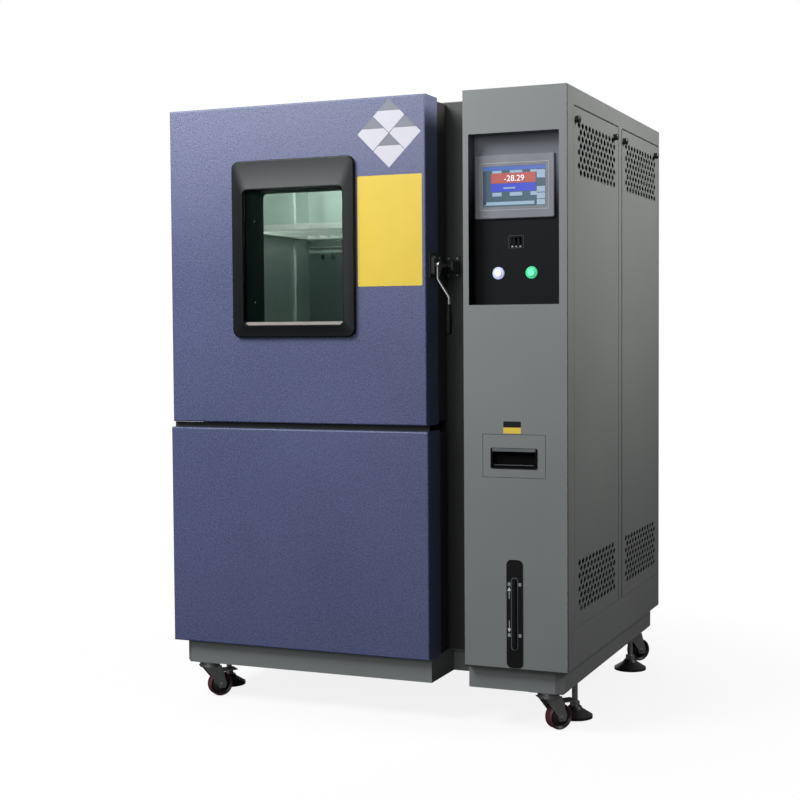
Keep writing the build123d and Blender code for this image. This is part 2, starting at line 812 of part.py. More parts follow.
pieces["conditioning_coils"] = Compound([evaporator, heater])

fan_y0 = baffle_y + fan_behind_baffle
hub_back = fan_y0 + fan_width
fan = rod_y(fan_y0, hub_back, door_middle_x, fan_z, fan_hub_radius)
blade_start = fan_hub_radius - fan_blade_lap
blade_length = fan_radius - blade_start
blade_shape = Box(blade_length, fan_width * fan_blade_share, fan_blade_thickness)
blade = Pos(blade_start + blade_length / 2, 0, 0) * Rot(fan_blade_tilt, 0, 0) * blade_shape
for index in range(fan_blades):
    turned = Pos(door_middle_x, fan_y0 + fan_width / 2, fan_z) * Rot(0, index * 360 / fan_blades, 0)
    fan += turned * blade
fan += rod_y(hub_back - sheet_overlap, insulation_rear - fan_shaft_end_gap, door_middle_x, fan_z,
             fan_shaft_radius)
pieces["circulation_fan"] = fan

plate_rear = insulation_rear + motor_plate
motor = rod_y(plate_rear, insulation_rear + motor_length, door_middle_x, fan_z, motor_radius)
motor = chamfer(motor.edges().group_by(Axis.Y)[-1], motor_chamfer)
motor += block(door_middle_x - motor_plate_half, door_middle_x + motor_plate_half, insulation_rear,
               plate_rear,
               fan_z - motor_plate_half, fan_z + motor_plate_half)
motor += rod_y(insulation_rear - motor_boss, insulation_rear + sheet_overlap, door_middle_x, fan_z,
               fan_shaft_radius + fan_shaft_bush)
pieces["fan_motor"] = motor

shelf_z = inner_low + shelf_height
shelf_left = inner_left + shelf_side_gap
shelf_right = inner_right - shelf_side_gap
shelf_front = body_front + shelf_front_gap
shelf_rear = shelf_front + shelf_depth
runners = []
for side in (-1, 1):
    wall = inner_left if side < 0 else inner_right
    face = wall - side * upright_depth
    x0, x1 = sorted((wall, face))
    for upright_y in (shelf_front + upright_inset, shelf_rear - upright_inset - upright_width):
        runners.append(block(x0, x1, upright_y, upright_y + upright_width, inner_low + upright_end_gap,
                             inner_high - upright_end_gap))
    x0, x1 = sorted((face, face - side * ledge_width))
    ledge = block(x0, x1, shelf_front, shelf_rear, shelf_z - ledge_thickness, shelf_z - seat_gap)
    x0, x1 = sorted((face, face - side * ledge_lip))
    ledge += block(x0, x1, shelf_front, shelf_rear, shelf_z - ledge_thickness, shelf_z + ledge_lip_height)
    runners.append(ledge)
pieces["shelf_runners"] = Compound(runners)

shelf = block(shelf_left, shelf_right, shelf_front, shelf_rear, shelf_z, shelf_z + shelf_frame)
shelf -= block(shelf_left + shelf_bar, shelf_right - shelf_bar, shelf_front + shelf_bar,
               shelf_rear - shelf_bar,
               shelf_z - cut_past, shelf_z + shelf_frame + cut_past)
rod_pitch = (shelf_right - shelf_left - 2 * shelf_bar) / (shelf_rods + 1)
for index in range(shelf_rods):
    rod_middle = shelf_left + shelf_bar + (index + 1) * rod_pitch
    shelf += block(rod_middle - shelf_rod / 2, rod_middle + shelf_rod / 2, shelf_front + shelf_rod_lap,
                   shelf_rear - shelf_rod_lap, shelf_z + shelf_rod_lap, shelf_z + shelf_rod_lap + shelf_rod)
pieces["sample_shelf"] = shelf

# Machine compartment: compressor on its feet, and the condenser before the rear louvres
compressor_x = left + compressor_from_left
compressor_y = rear - compressor_from_rear
shell_bottom = body_bottom + compressor_raise
compressor = rod_z(shell_bottom, shell_bottom + compressor_height, compressor_x, compressor_y,
                   compressor_radius)
compressor = chamfer(compressor.edges().group_by(Axis.Z)[-1], compressor_dome)
compressor += block(compressor_x - compressor_base_x, compressor_x + compressor_base_x,
                    compressor_y - compressor_base_y, compressor_y + compressor_base_y,
                    shell_bottom - compressor_base_half, shell_bottom + compressor_base_half)
for foot_dx in (-compressor_feet_x, compressor_feet_x):
    for foot_dy in (-compressor_feet_y, compressor_feet_y):
        compressor += rod_z(body_bottom, shell_bottom, compressor_x + foot_dx, compressor_y + foot_dy,
                            compressor_foot_radius)
pieces["compressor"] = compressor

condenser_y = rear - sheet - condenser_rear_gap - condenser_depth
condenser_low = condenser_z - condenser_drop
condenser_middle_z = condenser_low + condenser_height / 2
condenser = block(condenser_x - condenser_width / 2, condenser_x + condenser_width / 2, condenser_y,
                  condenser_y + condenser_depth, condenser_low, condenser_low + condenser_height)
condenser -= rod_y(condenser_y - cut_past, condenser_y + condenser_ring_depth, condenser_x,
                   condenser_middle_z,
                   condenser_ring_radius)
for foot_sign in (-1, 1):
    foot_centre = condenser_x + foot_sign * (condenser_width / 2 - condenser_foot_inset)
    condenser += block(foot_centre - condenser_foot_half, foot_centre + condenser_foot_half, condenser_y,
                       condenser_y + condenser_depth, body_bottom, condenser_low + sheet_overlap)
pieces["condenser"] = condenser

# Control cabinet: folded front panel
recess_x0 = control_left + recess_left
recess_x1 = -recess_right
recess_z1 = total_height - recess_top
recess_z0 = recess_z1 - recess_height
drawer_x0 = control_left + drawer_left
drawer_x1 = drawer_x0 + drawer_width
drawer_z1 = total_height - drawer_top
drawer_z0 = drawer_z1 - drawer_height
panel_profile = [
    (control_left, front), (0, front), (0, column_width), (-sheet, column_width), (-sheet, front + sheet),
    (control_left + sheet, front + sheet), (control_left + sheet, body_front), (control_left, body_front),
]
front_panel = outline_xy(panel_profile, body_bottom, total_height - sheet)
front_panel += block(control_left, 0, front, front + sheet, body_bottom, total_height)
front_panel -= block(recess_x0, recess_x1, front - cut_past, front + sheet + cut_past, recess_z0, recess_z1)
front_panel -= block(drawer_x0 - seam, drawer_x1 + seam, front - cut_past, front + sheet + cut_past,
                     drawer_z0 - seam,
                     drawer_z1 + seam)
pieces["control_front_panel"] = front_panel

# Welded frame: inner wall, right side frame with rebated cover openings, and two drawer runners
cover_y = [column_width, column_width + cover_width + mullion_width]
slit_z = total_height - top_rail
cover_top = slit_z - top_slit
wall_x = control_left + sheet
frame_front = front + sheet
side_frame = block(-sheet, 0, column_width, rear - sheet, body_bottom, total_height - sheet)
side_back = block(-2 * sheet, -sheet, column_width - side_frame_lap, rear - sheet, body_bottom,
                  total_height - sheet)
for y0 in cover_y:
    side_frame -= block(-sheet - cut_past, cut_past, y0, y0 + cover_width, cover_bottom, slit_z)
    side_back -= block(-2 * sheet - cut_past, -sheet + cut_past, y0 + rebate, y0 + cover_width - rebate,
                       cover_bottom + rebate, slit_z - rebate)
frame = side_frame + side_back
frame += block(wall_x, wall_x + sheet, frame_front, rear - sheet, body_bottom, total_height - sheet)
inner_return = rear - inner_return_gap
frame += block(wall_x, -sheet, inner_return - sheet, inner_return, body_bottom, total_height - sheet)
runner_z = drawer_z0 + runner_above_flap
runner_low = runner_z - seat_gap - runner_thickness
runner_front = front + 2 * sheet
tray_x0 = drawer_x0 + drawer_bin_inset
tray_x1 = drawer_x1 - drawer_bin_inset
frame += block(wall_x + sheet, tray_x0 + runner_lap, runner_front, runner_front + drawer_depth,
               runner_low, runner_z - seat_gap)
frame += block(tray_x1 - runner_lap, -2 * sheet, column_width, runner_front + drawer_depth,
               runner_low, runner_z - seat_gap)
pieces["control_cabinet_frame"] = frame


def vent_grid(y_start, z_low):
    """A staggered grid of stretched hexagonal holes with their points up, cut through the side cover."""
    half_w = vent_hole_width / 2
    half_h = vent_hole_height / 2
    shoulder = vent_hole_shoulder
    outline = make_face(Polyline((-half_w, -shoulder), (-half_w, shoulder), (0, half_h), (half_w, shoulder),
                                 (half_w, -shoulder), (0, -half_h), close=True))
    holes = []
    for row in range(vent_rows):
        stagger = vent_pitch / 2 if row % 2 == 0 else 0
        for column in range(vent_columns):
            y = y_start + stagger + column * vent_pitch
            z = z_low + row * vent_row_pitch
            plane = Plane(origin=(-sheet - cut_past, y, z), x_dir=(0, 1, 0), z_dir=(1, 0, 0))
            holes.append(extrude(plane * outline, sheet + 2 * cut_past))
    return holes


def side_cover(y0):
    """A lift-off cover that lies in the frame's rebate, with vents at the top and at the bottom."""
    cover = block(-sheet, 0, y0 + seam, y0 + cover_width - seam, cover_bottom + seam, cover_top)
    grid_width = (vent_columns - 0.5) * vent_pitch
    y_start = y0 + (cover_width - grid_width) / 2
    grid_height = (vent_rows - 1) * vent_row_pitch
    holes = vent_grid(y_start, cover_top - vent_top_margin - grid_height)
    holes += vent_grid(y_start, cover_bottom + vent_bottom_margin)
    for knob_y in (y0 + knob_front_margin, y0 + cover_width - knob_rear_margin):
        holes.append(rod_x(-sheet - cut_past, cut_past, knob_y, cover_top - knob_below_top,
                           knob_shank_radius + running_fit))
    return cover.cut(*holes)


def cover_knob(knob_y):
    """A quarter-turn lock: a round knob, a shank through the cover and a tongue behind the rail."""
    z = cover_top - knob_below_top
    knob = rod_x(seat_gap, knob_length, knob_y, z, knob_radius)
    knob = chamfer(knob.edges().group_by(Axis.X)[-1], knob_chamfer)
    tongue_x1 = -2 * sheet - seat_gap
    knob += rod_x(tongue_x1 - knob_tongue_thickness, seat_gap + sheet_overlap, knob_y, z, knob_shank_radius)
    knob += block(tongue_x1 - knob_tongue_thickness, tongue_x1, knob_y - knob_shank_radius,
                  knob_y + knob_shank_radius, z, slit_z)
    return knob


pieces["front_side_cover"] = side_cover(cover_y[0])
pieces["rear_side_cover"] = side_cover(cover_y[1])
knob_margins = (knob_front_margin, cover_width - knob_rear_margin)
knob_places = [y0 + margin for y0 in cover_y for margin in knob_margins]
for number, knob_y in enumerate(knob_places, start=1):
    pieces[f"cover_knob_{number}"] = cover_knob(knob_y)

# Operating recess with the touch panel, two push buttons and a slotted port
plate_y = recess_depth
recess = block(recess_x0 - sheet, recess_x1 + sheet, front + sheet, plate_y + sheet, recess_z0 - sheet,
               recess_z1 + sheet)
recess += block(recess_x0 - recess_flange_left, recess_x1 + recess_flange, front + sheet, front + 2 * sheet,
                recess_z0 - recess_flange, recess_z1 + recess_flange)
recess -= block(recess_x0, recess_x1, front + sheet - cut_past, plate_y, recess_z0, recess_z1)
hmi_x0 = control_left + hmi_left
hmi_z1 = total_height - hmi_top
hmi_x1 = hmi_x0 + hmi_width
hmi_z0 = hmi_z1 - hmi_height
recess -= block(hmi_x0 + hmi_rim, hmi_x1 - hmi_rim, plate_y - cut_past, plate_y + sheet + cut_past,
                hmi_z0 + hmi_rim,
                hmi_z1 - hmi_rim)
barrel_hole = button_radius + running_fit + button_barrel_wall + seat_gap
button_x = [-button_pair_middle - button_spacing / 2, -button_pair_middle + button_spacing / 2]
for x in button_x:
    recess -= rod_y(plate_y - cut_past, plate_y + sheet + cut_past, x, button_height, barrel_hole)
port_x = -port_middle
port_z = button_height + port_above_buttons
slot_pitch = port_width / port_slots
for index in range(port_slots):
    slot_x = port_x + (index - (port_slots - 1) / 2) * slot_pitch
    recess -= block(slot_x - port_slot_width / 2, slot_x + port_slot_width / 2, plate_y - cut_past,
                    plate_y + sheet + cut_past, port_z - port_height / 2, port_z + port_height / 2)
pieces["operating_recess"] = recess

hmi = rounded_plate(hmi_x0, hmi_x1, hmi_z0, hmi_z1, plate_y - hmi_proud, plate_y, hmi_corner)
hmi = chamfer(hmi.edges().group_by(Axis.Y)[0], hmi_chamfer)
hmi_inset = hmi_rim + hmi_body_gap
hmi += block(hmi_x0 + hmi_inset, hmi_x1 - hmi_inset, plate_y, plate_y + hmi_body, hmi_z0 + hmi_inset,
             hmi_z1 - hmi_inset)
screen_x = (hmi_x0 + hmi_x1) / 2
screen_z = (hmi_z0 + hmi_z1) / 2
screen_y = plate_y - hmi_proud + screen_sink
screen_rear = screen_y + screen_thickness
hmi -= block(screen_x - screen_width / 2, screen_x + screen_width / 2, plate_y - hmi_proud - cut_past,
             screen_rear,
             screen_z - screen_height / 2, screen_z + screen_height / 2)
pieces["touch_panel_housing"] = hmi
pieces["touch_screen"] = block(screen_x - screen_width / 2, screen_x + screen_width / 2, screen_y,
                               screen_rear,
                               screen_z - screen_height / 2, screen_z + screen_height / 2)

bezels = []
cap_back = plate_y + button_seat
barrel_radius = button_radius + running_fit + button_barrel_wall
for x in button_x:
    ring_profile = make_face(Polyline(
        (button_radius + running_fit, -button_bezel_proud),
        (button_bezel_radius - button_bezel_chamfer, -button_bezel_proud),
        (button_bezel_radius, button_bezel_chamfer - button_bezel_proud), (button_bezel_radius, 0),
        (barrel_radius, 0),
        (barrel_radius, button_barrel), (0, button_barrel), (0, button_seat + button_travel + seat_gap),
        (button_radius + running_fit, button_seat + button_travel + seat_gap), close=True))
    bezels.append(Pos(x, plate_y, button_height) * revolve(ring_profile, Axis.Y))
pieces["button_bezels"] = Compound(bezels)


def button_cap(x):
    """A domed push-button cap that slides in the bezel's barrel."""
    cap = rod_y(plate_y - button_proud, cap_back, x, button_height, button_radius)
    return chamfer(cap.edges().group_by(Axis.Y)[0], button_chamfer)


pieces["white_button"] = button_cap(button_x[0])
pieces["green_button"] = button_cap(button_x[1])

# Water drawer with a flush pull, and the level gauge under it
pull_x0 = (drawer_x0 + drawer_x1 - pull_width) / 2
pull_x1 = pull_x0 + pull_width
pull_z1 = drawer_z1 - pull_from_top
pull_z0 = pull_z1 - pull_height
flap = block(drawer_x0, drawer_x1, front, front + sheet, drawer_z0, drawer_z1)
bin_y0 = front + sheet + pull_depth + pull_wall
bin_z1 = drawer_z0 + drawer_bin_height
bin_solid = block(tray_x0, tray_x1, front + sheet, front + drawer_depth, runner_z, bin_z1)
bin_solid -= block(tray_x0 + sheet, tray_x1 - sheet, bin_y0 + sheet, front + drawer_depth - sheet,
                   runner_z + sheet, bin_z1 + cut_past)
bin_solid -= block(tray_x0 + sheet, tray_x1 - sheet, front + sheet, bin_y0, runner_z + sheet,
                   bin_z1 + cut_past)
drawer = flap + bin_solid
drawer -= block(pull_x0, pull_x1, front - cut_past, front + sheet + cut_past, pull_z0, pull_z1)
pieces["water_drawer"] = drawer

pull = rounded_plate(pull_x0 - pull_rim, pull_x1 + pull_rim, pull_z0 - pull_rim, pull_z1 + pull_rim,
                     front - pull_rim_proud, front, pull_corner)
pull += block(pull_x0, pull_x1, front, front + sheet + pull_depth, pull_z0, pull_z1)
pocket_front = front - pull_rim_proud - cut_past
pocket_low = pull_z0 + pull_wall
pocket_high = pull_z1 - pull_wall
pocket_rear = front + pull_depth
pocket = Plane(origin=(pull_x0 + pull_wall, 0, 0), x_dir=(0, 1, 0), z_dir=(1, 0, 0)) * make_face(Polyline(
    (pocket_front, pocket_low), (pocket_front, pocket_high),
    (front + pull_depth * pull_lip_front, pull_z1 - pull_lip_drop),
    (front + pull_depth * pull_lip_rear, pocket_high), (pocket_rear, pocket_high), (pocket_rear, pocket_low),
    close=True))
pull -= extrude(pocket, pull_width - 2 * pull_wall)
pieces["drawer_pull"] = pull

gauge_x0 = control_left + gauge_left
gauge_x1 = gauge_x0 + gauge_width
gauge_z0 = body_bottom + gauge_above_bottom
gauge_plate = rounded_plate(gauge_x0, gauge_x1, gauge_z0, gauge_z0 + gauge_height, front - gauge_thickness,
                            front, gauge_corner)
pieces["level_gauge_plate"] = gauge_plate
tube_x = (gauge_x0 + gauge_x1) / 2
tube_z0 = gauge_z0 + (gauge_height - gauge_tube_height) / 2
tube = rod_z(tube_z0, tube_z0 + gauge_tube_height, tube_x, front - gauge_thickness, gauge_tube_radius)
tube = chamfer(tube.edges(), gauge_tube_chamfer)
tube -= block(gauge_x0, gauge_x1, front - gauge_thickness, front + gauge_tube_radius, tube_z0 - cut_past,
              tube_z0 + gauge_tube_height + cut_past)
pieces["level_gauge_tube"] = tube

# Electrical plate on the inner wall of the control cabinet
mount_x = wall_x + sheet
mount_face = mount_x + mount_standoff + mount_plate
mount_rear = rear - mount_rear_gap
mount_high = total_height - mount_top_gap
mount_low = mount_high - mount_height
mounting = block(mount_x + mount_standoff, mount_face, mount_front, mount_rear, mount_low, mount_high)
for stud_y in (mount_front + mount_stud_inset, mount_rear - mount_stud_inset):
    for stud_z in (mount_low + mount_stud_inset, mount_high - mount_stud_inset):
        mounting += rod_x(mount_x, mount_face - sheet_overlap, stud_y, stud_z, mount_stud_radius)
for row in range(rail_rows):
    row_z = mount_high - rail_below_top - row * rail_pitch
    mounting += block(mount_face, mount_face + rail_depth, mount_front + rail_inset, mount_rear - rail_inset,
                      row_z - rail_half, row_z + rail_half)
    unit_x = mount_face + rail_depth - sheet_overlap
    for unit in range(unit_count):
        unit_y = mount_front + unit_start + unit * unit_pitch
        mounting += block(unit_x, unit_x + unit_depth, unit_y, unit_y + unit_width, row_z - unit_half,
                          row_z + unit_half)
pieces["electrical_plate"] = mounting

# Casters: plate and race on the plinth, a fork that swivels, and a wheel on its axle
wheel_z = caster_floor_gap + caster_radius
race_z = plinth_bottom - caster_plate_thickness
race_bottom = race_z - caster_race_height * caster_race_share
fork_top = race_z - caster_race_height


def caster_plate(x, y):
    """The top plate with the fixed half of the ball race and its king pin."""
    plate = Pos(x, y, plinth_bottom - caster_plate_thickness / 2) * Box(
        caster_plate_length, caster_plate_width, caster_plate_thickness)
    plate = fillet(plate.edges().filter_by(Axis.Z), caster_plate_corner)
    plate += rod_z(race_bottom, race_z + sheet_overlap, x, y, caster_race_radius)
    plate += rod_z(fork_top - fork_thickness - caster_pin_past, race_z, x, y, caster_pin_radius)
    return plate


def caster_fork():
    """The swivelling fork about its own king pin, with its wheel trailing along +X."""
    leg_gap = caster_width / 2 + fork_gap
    leg_out = leg_gap + fork_thickness
    crown_radius = caster_race_radius + fork_crown_lip
    fork = rod_z(fork_top - fork_thickness, race_bottom - seat_gap, 0, 0, crown_radius)
    leg_low = wheel_z - fork_leg_half
    outline = make_face(Polyline(
        (-caster_race_radius, fork_top), (caster_race_radius + fork_shoulder, fork_top),
        (caster_trail + fork_leg_front, wheel_z + fork_leg_rise), (caster_trail + fork_leg_half, leg_low),
        (caster_trail - fork_leg_half, leg_low),
        (caster_trail - fork_leg_rear, wheel_z + fork_leg_rear_rise),
        (fork_neck - caster_race_radius, fork_top - fork_thickness * 2), close=True))
    for leg_y in (-leg_out, leg_gap):
        plane = Plane(origin=(0, leg_y + fork_thickness, 0), x_dir=(1, 0, 0), z_dir=(0, -1, 0))
        fork += extrude(plane * outline, fork_thickness)
    fork += block(-caster_race_radius, caster_race_radius, -leg_out, leg_out, fork_top - fork_thickness,
                  fork_top)
    fork -= rod_z(fork_top - fork_thickness - cut_past, race_z, 0, 0, caster_pin_radius + running_fit)
    fork += rod_y(-leg_out - axle_past, leg_out + axle_past, caster_trail, wheel_z, axle_radius)
    return fork


def brake_pedal():
    """A stamped pedal over the trailing side of the wheel, on two cheeks that stand on the fork's legs."""
    reach = caster_width / 2 + fork_gap
    low = wheel_z + caster_radius + pedal_gap
    pedal_rear = caster_trail + caster_radius + pedal_overhang
    pedal = block(pedal_front, pedal_rear, -reach, reach, low, low + fork_thickness)
    for leg_y in (-reach - fork_thickness, reach):
        pedal += block(pedal_front, caster_trail + pedal_cheek, leg_y, leg_y + fork_thickness, wheel_z,
                       low + fork_thickness)
    return pedal


def caster_wheel():
    """A wheel with a crowned tread and a recessed web, revolved about its axle along Y."""
    half = caster_width / 2
    bore = axle_radius + running_fit
    hub_radius = bore + wheel_hub_wall
    web_radius = caster_radius - wheel_tread
    crown_radius = caster_radius - wheel_crown
    web_half = half * (1 - wheel_web_share)
    crown_half = half - wheel_crown_drop
    profile = make_face(Polyline(
        (bore, -half), (hub_radius, -half), (web_radius, -web_half), (crown_radius, -crown_half),
        (caster_radius, -web_half), (caster_radius, web_half), (crown_radius, crown_half),
        (web_radius, web_half), (hub_radius, half), (bore, half), close=True))
    return Pos(caster_trail, 0, wheel_z) * revolve(Plane.XY * profile, Axis.Y)


plates = [caster_plate(caster_x[side], caster_y[depthwise]) for depthwise, side in corners]
pieces["caster_plates"] = Compound(plates)
for depthwise, side in corners:
    swivel = Pos(caster_x[side], caster_y[depthwise], 0) * Rot(0, 0, caster_heading)
    fork = caster_fork() + brake_pedal() if depthwise == "front" else caster_fork()
    pieces[f"caster_fork_{depthwise}_{side}"] = swivel * fork
    pieces[f"caster_wheel_{depthwise}_{side}"] = swivel * caster_wheel()


def levelling_foot(x, y):
    """A screwed foot: a stem, a lock nut and a bell-shaped pad."""
    bell_top = foot_rim + foot_bell
    pad_profile = make_face(Polyline(
        (0, 0), (foot_radius, 0), (foot_radius, foot_rim),
        (foot_radius * foot_bell_share, foot_rim + foot_bell * foot_bell_rise),
        (foot_radius * foot_neck_share, bell_top), (0, bell_top), close=True))
    foot = revolve(Plane.XZ * pad_profile, Axis.Z)
    nut = extrude(RegularPolygon(foot_nut, 6), foot_nut_height)
    foot += Pos(0, 0, bell_top) * nut
    stem_top = body_bottom - plinth_wall - foot_travel - foot_stem_clearance
    foot += rod_z(foot_rim, stem_top, 0, 0, foot_stem_radius)
    return Pos(x, y, 0) * foot


for depthwise, side in corners:
    pieces[f"levelling_foot_{depthwise}_{side}"] = levelling_foot(foot_x[side], foot_y[depthwise])

# Every piece is shifted to the common origin and written by its own name
for name, piece in pieces.items():
    placed = Pos(origin_x, origin_y, 0) * piece
    placed.label = name
    export_step(placed, f"parts/{name}.step")
print(len(pieces), "pieces")
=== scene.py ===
"""Dresses a floor-standing environmental test chamber: finishes, small trim, display, studio and camera."""
from __future__ import annotations

import json
import logging
import math
from dataclasses import dataclass, field
from enum import Enum
from typing import Any, Sequence

import bmesh
import bpy
import numpy as np
from mathutils import Matrix, Vector

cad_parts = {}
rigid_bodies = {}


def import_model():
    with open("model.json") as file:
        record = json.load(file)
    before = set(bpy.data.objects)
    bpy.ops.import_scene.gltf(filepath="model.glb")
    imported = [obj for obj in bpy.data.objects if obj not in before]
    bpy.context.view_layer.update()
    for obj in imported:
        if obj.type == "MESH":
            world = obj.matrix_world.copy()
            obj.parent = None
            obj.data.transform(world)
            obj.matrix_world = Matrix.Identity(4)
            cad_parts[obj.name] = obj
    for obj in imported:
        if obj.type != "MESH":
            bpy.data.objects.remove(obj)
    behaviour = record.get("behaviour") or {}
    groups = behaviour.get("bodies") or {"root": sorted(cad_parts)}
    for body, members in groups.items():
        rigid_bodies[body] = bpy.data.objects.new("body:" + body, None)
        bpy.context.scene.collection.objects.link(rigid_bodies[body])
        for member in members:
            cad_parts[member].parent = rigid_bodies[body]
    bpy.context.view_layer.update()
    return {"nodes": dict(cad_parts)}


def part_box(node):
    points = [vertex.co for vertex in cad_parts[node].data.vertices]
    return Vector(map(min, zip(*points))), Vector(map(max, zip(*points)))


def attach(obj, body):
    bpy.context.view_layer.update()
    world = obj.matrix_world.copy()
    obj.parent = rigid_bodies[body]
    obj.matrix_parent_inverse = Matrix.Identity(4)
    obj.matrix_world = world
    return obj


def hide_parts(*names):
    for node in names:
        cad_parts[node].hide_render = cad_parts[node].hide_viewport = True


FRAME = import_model()
LOG = logging.getLogger("test_chamber")

Colour = tuple[float, float, float, float]
Pair = tuple[float, float]
Point = tuple[float, float, float]
Edges = tuple[float, float, float, float]
Array = np.ndarray
NAMED_CORNERS = [(depth, side) for depth in ("front", "rear") for side in ("left", "right")]
CLOUD_EDGES = (0.3, 0.7)
NOISE_ROUGHNESS = 0.55
WHITE = (1.0, 1.0, 1.0, 1.0)


def shade(red: float, green: float, blue: float) -> Colour:
    """Turn display values of 0 to 255 into a linear colour.

    Args:
        red: Display red.
        green: Display green.
        blue: Display blue.

    Returns:
        The linear colour with full opacity.
    """
    value = np.array([red, green, blue]) / 255.0
    linear = np.where(value <= 0.04045, value / 12.92, ((value + 0.055) / 1.055) ** 2.4)
    return float(linear[0]), float(linear[1]), float(linear[2]), 1.0


def toned(colour: Colour, scale: float, grey: float = 0.0) -> Colour:
    """A colour drawn towards its own grey by a share, and then scaled by a factor."""
    mean = sum(colour[:3]) / 3
    red, green, blue = ((channel * (1 - grey) + mean * grey) * scale for channel in colour[:3])
    return red, green, blue, 1.0


def front_edges(node: str) -> Edges:
    """A CAD piece's left, right, lowest and highest place, as seen from the front."""
    low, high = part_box(node)
    return low.x, high.x, low.z, high.z


def grown(edges: Edges, by: float) -> Edges:
    """Four edges, low and high across and low and high up, moved outwards by a distance."""
    return edges[0] - by, edges[1] + by, edges[2] - by, edges[3] + by


class Signal:
    """One number inside a shader, with the arithmetic of ordinary numbers."""

    def __init__(self, kit: "NodeTree", socket: bpy.types.NodeSocket) -> None:
        """Hold a socket and the tree that it belongs to."""
        self.kit = kit
        self.socket = socket

    def _math(self, operation: str, first: Any, second: Any) -> "Signal":
        """Add one Math node of the given operation and return its output."""
        node = self.kit.node("ShaderNodeMath", {"operation": operation}, {0: first, 1: second})
        return Signal(self.kit, node.outputs[0])

    def __add__(self, other: Any) -> "Signal":
        """Sum."""
        return self._math("ADD", self, other)

    __radd__ = __add__

    def __sub__(self, other: Any) -> "Signal":
        """Difference."""
        return self._math("SUBTRACT", self, other)

    def __rsub__(self, other: Any) -> "Signal":
        """Difference with the number first."""
        return self._math("SUBTRACT", other, self)

    def __mul__(self, other: Any) -> "Signal":
        """Product."""
        return self._math("MULTIPLY", self, other)

    __rmul__ = __mul__

    def above(self, limit: Any) -> "Signal":
        """One where the number is greater than a limit, else nothing."""
        return self._math("GREATER_THAN", self, limit)

    def below(self, limit: Any) -> "Signal":
        """One where the number is less than a limit, else nothing."""
        return self._math("LESS_THAN", self, limit)

    def about(self, middle: Any, swing: float) -> "Signal":
        """A noise of 0 to 1 moved to a middle, with a swing from end to end."""
        return middle + (self - 0.5) * swing

    def ease(self, low: float, high: float) -> "Signal":
        """Go smoothly from 0 at low to 1 at high."""
        node = self.kit.node("ShaderNodeMapRange", {"interpolation_type": "SMOOTHSTEP"},
                             {"Value": self, "From Min": low, "From Max": high})
        return Signal(self.kit, node.outputs["Result"])


class NodeTree:
    """The nodes of a material or a world, with one way to add each of them."""

    def __init__(self, owner: bpy.types.Material | bpy.types.World) -> None:
        """Switch the owner's nodes on and start with none."""
        owner.use_nodes = True
        self.tree = owner.node_tree
        self.tree.nodes.clear()

    def node(self, kind: str, settings: dict[str, Any] | None = None,
             sockets: dict[Any, Any] | None = None) -> bpy.types.Node:
        """Add a node.

        Args:
            kind: The node's type.
            settings: Properties that are set first.
            sockets: Values or links of its input sockets.

        Returns:
            The new node.
        """
        made = self.tree.nodes.new(kind)
        for key, value in (settings or {}).items():
            setattr(made, key, value)
        for key, value in (sockets or {}).items():
            self.feed(made.inputs[key], value)
        return made

    def feed(self, socket: bpy.types.NodeSocket, value: Any) -> None:
        """Link a signal or a socket, or set a plain value."""
        source = value.socket if isinstance(value, Signal) else value
        if isinstance(source, bpy.types.NodeSocket):
            self.tree.links.new(source, socket)
        else:
            socket.default_value = source

    def camera_ray(self) -> bpy.types.NodeSocket:
        """One for what the camera sees directly, else nothing."""
        return self.node("ShaderNodeLightPath").outputs["Is Camera Ray"]

    def blend(self, factor: Any, first: bpy.types.Node, second: bpy.types.Node) -> bpy.types.NodeSocket:
        """Blend two shaders by a factor."""
        sockets = {0: factor, 1: first.outputs[0], 2: second.outputs[0]}
        return self.node("ShaderNodeMixShader", sockets=sockets).outputs[0]


